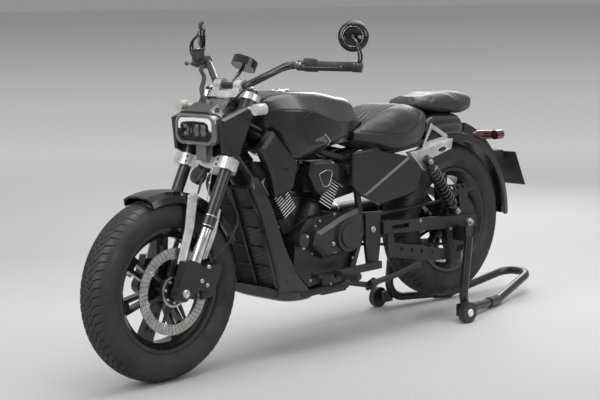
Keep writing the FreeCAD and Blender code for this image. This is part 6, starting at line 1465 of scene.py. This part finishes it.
@dataclass
class RearParts(Assembly):
    """The rear axle's nuts, the swing arm's screws, the belt's teeth, the plate's screws and
    the castings' plugs.

    A pulley has its axle's place and the belt's radius round it. The plate stands from its
    foot, leaning back by a slope.
    """

    small: Point = (725, 422, 38)
    large: Point = (0, 388, 96)
    axle_face: float = 156
    arm_screws: Sequence[Pair] = ((303, 428), (118, 372))
    belt_middle: float = 92
    belt_depth: float = 2.0
    tooth_pitch: float = 11
    plate_foot: Pair = (-466, 492)
    plate_slope: float = math.radians(26)
    plate_holes: tuple[Sequence[float], Sequence[float]] = ((-82, 82), (12, 153))
    plug: Pair = (232, 672)

    def build(self) -> None:
        """Make the rear end's pieces."""
        self.axle()
        self.teeth()
        self.plate()
        self.castings()

    def axle(self) -> None:
        """Nuts and adjusters at the rear axle, and screws on the swing arm's guards."""
        shape = Shaper()
        for side in (1, -1):
            nut = place(self.large[0], side * self.axle_face, self.large[1])
            out = Vector((0, side, 0))
            shape.lathe(nut, out, ((0.0, -0.001), (0.016, -0.001), (0.016, 0.002),
                                   (0.0, 0.002)), 32)
            shape.bar(nut + out * 0.001, nut + out * 0.011, 0.0125, 0.0118, 6, 0.0006)
            shape.bar(nut + out * 0.010, nut + out * 0.015, 0.0075, 0.0068, 20, 0.0006)
            side_bolts(shape, "swingarm", self.arm_screws, side, 0.0052)
        self.piece("rear_axle_nuts", shape, BARE_STEEL, "rear_axle")

    def teeth(self) -> None:
        """The belt's ribs on the inner side of its two straight runs."""
        shape = Shaper()
        small = Vector((self.small[0], 0, self.small[1]))
        large = Vector((self.large[0], 0, self.large[1]))
        run = large - small
        lean = math.atan2(run.z, run.x)
        spread = math.asin((self.large[2] - self.small[2]) / run.length)
        for side in (1, -1):
            turn = lean - side * (math.pi / 2 + spread)
            out = Vector((math.cos(turn), 0, math.sin(turn)))
            start = small + out * (self.small[2] - self.belt_depth)
            line = large + out * (self.large[2] - self.belt_depth) - start
            count = int(line.length / self.tooth_pitch)
            for i in range(count + 1):
                spot = start + line * (i / count)
                shape.block(place(spot.x, self.belt_middle, spot.z), (0.0052, 0.0212, 0.003),
                            Matrix.Rotation(-math.atan2(line.z, line.x), 4, "Y"), 0.0006, 1)
        self.piece("belt_teeth", shape, BELT, "drive_belt")

    def plate(self) -> None:
        """Corner screws on the blank number plate."""
        shape = Shaper()
        slope = self.plate_slope
        face = Vector((-math.cos(slope), 0, math.sin(slope)))
        up = Vector((math.sin(slope), 0, math.cos(slope)))
        foot = place(self.plate_foot[0], 0, self.plate_foot[1])
        for y in self.plate_holes[0]:
            for tall in self.plate_holes[1]:
                start = foot + up * tall / 1000 + Vector((0, y / 1000, 0)) + face * 0.1
                met = seat("number_plate", start, -face)
                shape.bolt(met.spot, face, 0.0042, Head.DOME)
        self.piece("plate_screws", shape, BARE_STEEL, "number_plate")

    def castings(self) -> None:
        """A dark plug for each bright casting beside the seat."""
        shape = Shaper()
        for side in (1, -1):
            met = side_seat("subframe_castings", *self.plug, side)
            shape.lathe(met.spot, met.out, ((0.0, -0.002), (0.0085, -0.002), (0.0085, 0.0008),
                                            (0.0065, 0.0008), (0.006, -0.0008),
                                            (0.0, -0.0008)), 28)
        self.piece("casting_plugs", shape, GLOSS_BLACK, "subframe_castings")


@dataclass
class Feet(Assembly):
    """The pegs' ribbed rubbers."""

    ribs: int = 7
    rib_pitch: float = 0.0098

    def build(self) -> None:
        """Make the rubber on each peg."""
        rubber = Shaper()
        low, high = (Vector(v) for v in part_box("foot_controls"))
        for side in (1, -1):
            edge = high.y if side > 0 else -low.y
            foot = place(800, side * (edge * 1000 - 80), 290)
            out = Vector((0, side, 0))
            outline = [(0.0138, 0.004), (0.0165, 0.004)]
            for rib in range(self.ribs):
                start = 0.006 + rib * self.rib_pitch
                outline += [(0.0172, start), (0.0172, start + 0.0058),
                            (0.0152, start + 0.0068), (0.0152, start + 0.0088)]
            outline += [(0.0165, 0.0755), (0.0138, 0.0755)]
            rubber.lathe(foot, out, outline, 28, True)
        self.piece("peg_rubbers", rubber, GRIP, "foot_controls")


@dataclass
class StandParts(Assembly):
    """The faces and the caps of the paddock stand's rollers."""

    def build(self) -> None:
        """Make both rollers' pieces, each on its own roller's body."""
        for side, name in ((1, "left"), (-1, "right")):
            face, dot = Shaper(), Shaper()
            low, high = (Vector(v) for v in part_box(f"stand_roller_{name}"))
            edge = high.y if side > 0 else low.y
            spot = Vector(((low.x + high.x) / 2, edge, (low.z + high.z) / 2))
            out = Vector((0, side, 0))
            face.lathe(spot, out, ((0.008, -0.001), (0.036, -0.001), (0.036, 0.0006),
                                   (0.033, 0.0006), (0.031, -0.0004), (0.016, -0.0004),
                                   (0.0145, 0.0006), (0.008, 0.0006)), 40, True)
            dot.lathe(spot, out, ((0.0, -0.001), (0.0155, -0.001), (0.0155, 0.004),
                                  (0.0135, 0.0062), (0.0, 0.0068)), 28)
            body = f"{name}_roller"
            make_piece(f"roller_face_{name}", face, MATT_PLASTIC, body)
            make_piece(f"roller_cap_{name}", dot, WHITE_MARK, body)


@dataclass
class Pipes(Assembly):
    """The upper muffler's rings and the slots of its heat shield, measured back from its front
    end. The slots are dark blocks on the shield, painted shade where its openings would be.
    """

    start: Point = (540, -205, 438)
    rings: Sequence[float] = (0.02, 0.10, 0.33)
    slots: int = 7
    slot_pitch: float = 0.026

    def build(self) -> None:
        """Make the rings round the muffler on the right, and its slots as dark blocks of painted
        shade.
        """
        shape, slots = Shaper(), Shaper()
        tail = Vector((-1, 0, 0))
        foot = place(*self.start)
        for start in self.rings:
            shape.lathe(foot, tail, ((0.0418, start), (0.0432, start + 0.001),
                                     (0.0432, start + 0.011), (0.0418, start + 0.012)), 48,
                        True)
        shape.lathe(foot, tail, ((0.026, 0.376), (0.036, 0.376), (0.036, 0.3815),
                                 (0.0335, 0.383), (0.026, 0.381)), 48, True)
        self.piece("muffler_rings", shape, CHROME, "exhaust")
        # Dark blocks stand for the heat shield's slots: painted shade where the openings are.
        for i in range(self.slots):
            spot = foot + tail * (0.135 + i * self.slot_pitch) + Vector((0, -0.0425, 0))
            slots.block(spot, (0.016, 0.0016, 0.008), Matrix.Rotation(0.5, 4, "Y"), 0.0007)
        self.piece("muffler_slot_shade", slots, GRILLE, "exhaust")


def applied(piece: bpy.types.Object) -> None:
    """Bake a piece's modifiers into its mesh and drop them."""
    graph = bpy.context.evaluated_depsgraph_get()
    baked = bpy.data.meshes.new_from_object(piece.evaluated_get(graph), depsgraph=graph)
    old = piece.data
    piece.modifiers.clear()
    piece.data = baked
    bpy.data.meshes.remove(old)


@dataclass
class Cushion:
    """A padded seat: its CAD solid remeshed, filled by a cloth run and then sewn.

    What faces down more steeply than a limit rests on the seat's base and is held.
    """

    node: str
    name: str
    seams: Callable[[Vector], float]
    fill: float
    cap: float = 0.008
    voxel: float = 0.005
    slack: float = 0.003
    depth: float = 0.0045
    frames: int = 20
    pressure: float = 4.0
    down: float = -0.6

    def build(self) -> bpy.types.Object:
        """Make the cushion and dress it.

        Returns:
            The cushion's object.
        """
        piece = bpy.data.objects.new(self.name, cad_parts[self.node].data.copy())
        bpy.context.scene.collection.objects.link(piece)
        remesh = piece.modifiers.new("remesh", "REMESH")
        remesh.mode = "VOXEL"
        remesh.voxel_size = self.voxel
        applied(piece)
        self.pull_in(piece)
        self.fill_up(piece)
        finer = piece.modifiers.new("finer", "SUBSURF")
        finer.levels = finer.render_levels = 1
        applied(piece)
        self.sew(piece)
        mesh = piece.data
        mesh.polygons.foreach_set("use_smooth", [True] * len(mesh.polygons))
        mesh.materials.clear()
        mesh.materials.append(SEAT_HIDE.material())
        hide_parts(self.node)
        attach(piece, "chassis")
        log.info("%s: %d faces, padded", self.name, len(mesh.polygons))
        return piece

    def pull_in(self, piece: bpy.types.Object) -> None:
        """Start the cushion slightly smaller than its solid, its corners rounded."""
        part = bmesh.new()
        part.from_mesh(piece.data)
        for _ in range(3):
            bmesh.ops.smooth_vert(part, verts=part.verts[:], factor=0.5, use_axis_x=True,
                                  use_axis_y=True, use_axis_z=True)
        part.normal_update()
        for vert in part.verts:
            if vert.normal.z > self.down:
                vert.co -= vert.normal * self.slack
        part.to_mesh(piece.data)
        part.free()

    def fill_up(self, piece: bpy.types.Object) -> None:
        """Blow the cushion up by a cloth run, its underside held where it rests."""
        mesh = piece.data
        start = [vert.co.copy() for vert in mesh.vertices]
        held = piece.vertex_groups.new(name="rest")
        held.add([v.index for v in mesh.vertices if v.normal.z < self.down], 1.0, "REPLACE")
        cloth = piece.modifiers.new("cloth", "CLOTH")
        cloth.settings.quality = 5
        cloth.settings.use_pressure = True
        cloth.settings.uniform_pressure_force = self.pressure
        cloth.settings.vertex_group_mass = held.name
        cloth.settings.effector_weights.gravity = 0.0
        cloth.point_cache.frame_start = 1
        cloth.point_cache.frame_end = self.frames
        for step in range(1, self.frames + 1):
            bpy.context.scene.frame_set(step)
        applied(piece)
        piece.vertex_groups.clear()
        bpy.context.scene.frame_set(1)
        for vert, was in zip(piece.data.vertices, start):
            moved = vert.co - was
            if moved.length > self.cap:
                vert.co = was + moved.normalized() * self.cap

    def sew(self, piece: bpy.types.Object) -> None:
        """Pull the seams in and keep every place inside the solid's box."""
        low, high = (Vector(v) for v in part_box(self.node))
        part = bmesh.new()
        part.from_mesh(piece.data)
        part.normal_update()
        moves = [(vert, vert.normal * self.seams(vert.co) * self.depth)
                 for vert in part.verts]
        for vert, move in moves:
            vert.co -= move
            for i in range(3):
                vert.co[i] = min(max(vert.co[i], low[i]), high[i])
        part.to_mesh(piece.data)
        part.free()


def near_line(x: float, z: float, line: Sequence[Pair]) -> float:
    """How far a place is from a line of straight runs, in the line's own unit."""
    best = 1e9
    for (x0, z0), (x1, z1) in zip(line, line[1:]):
        dx, dz = x1 - x0, z1 - z0
        t = min(max(((x - x0) * dx + (z - z0) * dz) / (dx * dx + dz * dz), 0.0), 1.0)
        best = min(best, math.hypot(x - x0 - dx * t, z - z0 - dz * t))
    return best


# The side seams' width, how far out they start, the gap between the lengthwise channels
# where they are drawn together, how much it grows, a channel's width and how high the
# seat's top starts.
SEAM_WIDTH, SEAM_OUT = 3.4, 70
CHANNEL_GAP, CHANNEL_SPREAD, CHANNEL_WIDTH = 9.0, 17.0, 4.4
SEAT_TOP = 730
RIDER_SEAM = ((661, 810), (577, 797), (478, 784), (390, 779), (349, 792), (307, 814),
              (272, 834), (247, 853))


PILLION_SEAM = ((360, 884), (213, 872), (97, 852), (41, 842), (-7, 858))


def rider_seams(spot: Vector) -> float:
    """How deep the rider's seat is sewn at a place, from 0 to 1.

    Seven channels run lengthwise over the top and draw together at the rear, and a seam
    runs along each side.
    """
    x, y, z = (spot.x + REAR_AXLE) * 1000, abs(spot.y) * 1000, spot.z * 1000
    side = (math.exp(-(near_line(x, z, RIDER_SEAM) / SEAM_WIDTH) ** 2) if y > SEAM_OUT
            else 0.0)
    open_by = min(max((x - 235) / 190, 0.0), 1.0)
    gap = CHANNEL_GAP + CHANNEL_SPREAD * open_by * open_by * (3 - 2 * open_by)
    fade = min(max((x - 232) / 20, 0.0), 1.0) * min(max((640 - x) / 120, 0.0), 1.0)
    row = round(y / gap)
    top = (math.exp(-((y - row * gap) / CHANNEL_WIDTH) ** 2) if row <= 3 and z > SEAT_TOP
           else 0.0)
    return max(side, top * fade)


def pillion_seams(spot: Vector) -> float:
    """How deep the pillion pad is sewn: one seam round its lower edge."""
    x, z = (spot.x + REAR_AXLE) * 1000, spot.z * 1000
    return 0.8 * math.exp(-(near_line(x, z, PILLION_SEAM) / 3.2) ** 2)


@dataclass
class Seats(Assembly):
    """Both padded seats with the stitches along their seams."""

    def build(self) -> None:
        """Make both cushions and the rider seat's stitches."""
        rider = Cushion("rider_seat", "rider_cushion", rider_seams, 0.7).build()
        Cushion("pillion_seat", "pillion_cushion", pillion_seams, 0.75, cap=0.006).build()
        shape = Shaper()
        flat = eased([Vector((x, z + 5, 0)) for x, z in RIDER_SEAM], 10)
        for side in (1, -1):
            for one, two in zip(flat[::2], flat[1::2]):
                ends = []
                for v in (one, two):
                    hit, spot, out, _ = rider.ray_cast(place(v.x, side * SIDE_START, v.y),
                                                       Vector((0, -side, 0)))
                    if hit:
                        ends.append(spot + out * 0.0003)
                if len(ends) == 2 and (ends[1] - ends[0]).length > 0.002:
                    shape.bar(ends[0], ends[0].lerp(ends[1], 0.7), 0.0006, None, 6)
        self.piece("seat_stitches", shape, THREAD, "rider_seat")


@dataclass
class Studio:
    """The floor, the light and the camera at the photograph's viewing angle.

    The lens is a share of the sensor's width. The floor's tone ramp is painted light: it runs
    with the distance ahead of a line that lies a stand-off behind the middle, from near to far.
    """

    camera_place: Point = (3.98209, 3.73788, 1.28554)
    pan: float = 0.7788
    tilt: float = 0.1365
    roll: float = -0.0145
    lens_share: float = 1432.9 / 600
    sensor: float = 36.0
    sky: Sequence[Pair] = ((0.0, 0.28), (0.6, 0.68))
    floor_radius: float = 400.0
    stand_off: float = 5.46
    # Painted light on the floor: each tone stands in for how brightly the studio's light falls
    # there, from near to far.
    painted_light_tones: Sequence[Pair] = (
        (0.04, 0.40), (0.12, 0.53), (0.18, 0.51), (0.245, 0.62), (0.33, 0.84), (0.45, 0.73),
        (0.66, 0.50), (0.96, 0.36))

    def build(self) -> None:
        """Make the camera, the floor, the world and the lamps."""
        self.camera()
        self.floor()
        self.world()
        self.lamps()

    def camera(self) -> None:
        """A camera turned by pan, tilt and roll, with the photograph's lens."""
        data = bpy.data.cameras.new("camera")
        data.sensor_width = self.sensor
        data.lens = self.sensor * self.lens_share
        data.clip_end = 1000.0
        view = bpy.data.objects.new("camera", data)
        bpy.context.scene.collection.objects.link(view)
        ahead = Vector((-math.cos(self.pan) * math.cos(self.tilt),
                        -math.sin(self.pan) * math.cos(self.tilt), -math.sin(self.tilt)))
        right = ahead.cross(UP).normalized()
        up = right.cross(ahead)
        across = right * math.cos(self.roll) + up * math.sin(self.roll)
        above = up * math.cos(self.roll) - right * math.sin(self.roll)
        turn = Matrix((across, above, -ahead)).transposed().to_4x4()
        view.matrix_world = Matrix.Translation(self.camera_place) @ turn
        bpy.context.scene.camera = view

    def floor(self) -> None:
        """A wide pale floor whose colour holds painted light: darker near the camera, a painted
        pool of light some metres behind the motorcycle, and painted shade that darkens it far
        off.
        """
        mesh = bpy.data.meshes.new("floor")
        shape = bmesh.new()
        bmesh.ops.create_circle(shape, cap_ends=True, segments=96, radius=self.floor_radius)
        shape.to_mesh(mesh)
        shape.free()
        ground = bpy.data.objects.new("floor", mesh)
        bpy.context.scene.collection.objects.link(ground)
        made = bpy.data.materials.new("studio_floor")
        made.use_nodes = True
        tree = Tree(made.node_tree)
        far = tree.nodes.new("ShaderNodeVectorMath")
        far.operation = "DOT_PRODUCT"
        far.inputs[1].default_value = (-math.cos(self.pan), -math.sin(self.pan), 0.0)
        tree.link(tree.place, far.inputs[0])
        reach = tree.math("ADD", far.outputs["Value"], self.stand_off)
        steps = tree.math("LOGARITHM", tree.math("MAXIMUM", reach, 1.0), 10.0)
        share = tree.spread(steps, 0.0, 1.0, 0.6, 2.1)
        # The floor's colour follows this ramp of painted light and painted shade, not a tone of
        # its own.
        tone = tree.ramp(share, [(at, (shade,) * 3) for at, shade in self.painted_light_tones])
        tree.link(tone, tree.shader.inputs["Base Color"])
        tree.shader.inputs["Roughness"].default_value = 0.65
        tree.shader.inputs["Specular IOR Level"].default_value = 0.15
        mesh.materials.append(made)
        ground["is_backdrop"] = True

    def world(self) -> None:
        """A grey surround, paler overhead."""
        world = bpy.data.worlds.new("studio")
        bpy.context.scene.world = world
        world.use_nodes = True
        nodes, links = world.node_tree.nodes, world.node_tree.links
        shade = next(n for n in nodes if n.type == "BACKGROUND")
        coords = nodes.new("ShaderNodeTexCoord")
        split = nodes.new("ShaderNodeSeparateXYZ")
        ramp = nodes.new("ShaderNodeValToRGB")
        links.new(coords.outputs["Generated"], split.inputs[0])
        links.new(split.outputs["Z"], ramp.inputs["Fac"])
        bar = ramp.color_ramp
        for element, (at, tone) in zip(bar.elements, self.sky):
            element.position, element.color = at, (tone, tone, tone, 1)
        links.new(ramp.outputs["Color"], shade.inputs["Color"])
        shade.inputs["Strength"].default_value = 1.0

    def lamps(self) -> None:
        """Large soft boxes: overhead, beside the camera and behind for the rims of light."""
        for name, at, aim, size, power in (
                ("top_box", (0.0, 0.4, 3.4), (0.0, 0.0, 0.4), (3.6, 2.2), 95.0),
                ("front_box", (3.6, 0.2, 2.0), (0.3, 0.0, 0.5), (1.6, 2.4), 62.0),
                ("side_box", (-0.2, 4.2, 1.9), (0.0, 0.0, 0.5), (3.4, 1.8), 52.0),
                ("rear_box", (-3.4, -1.8, 2.4), (0.0, 0.0, 0.6), (2.0, 1.6), 45.0)):
            data = bpy.data.lights.new(name, "AREA")
            data.shape = "RECTANGLE"
            data.size, data.size_y = size
            data.energy = power
            lamp = bpy.data.objects.new(name, data)
            bpy.context.scene.collection.objects.link(lamp)
            look = Vector(aim) - Vector(at)
            lamp.matrix_world = (Matrix.Translation(at)
                                 @ look.to_track_quat("-Z", "Y").to_matrix().to_4x4())


def dress_nodes() -> None:
    """Give every CAD node its finish, through its own material slots."""
    for name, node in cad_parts.items():
        finish = NODE_FINISHES[name].material()
        if not node.material_slots:
            node.data.materials.append(finish)
        for slot in node.material_slots:
            slot.material = finish


def main() -> None:
    """Build the studio and dress the motorcycle, then say what was made."""
    logging.basicConfig(level=logging.INFO, format="%(name)s: %(message)s")
    bpy.context.scene.view_settings.view_transform = "Standard"
    Studio().build()
    dress_nodes()
    for assembly in (Wheels(), ForkParts(), Bars(), Lamp(), EngineParts(), Tank(), Shocks(),
                     RearParts(), Feet(), StandParts(), Pipes(), Seats()):
        assembly.build()
    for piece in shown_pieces():
        log.info("piece %s", piece.name)


if __name__ == "__main__":
    main()
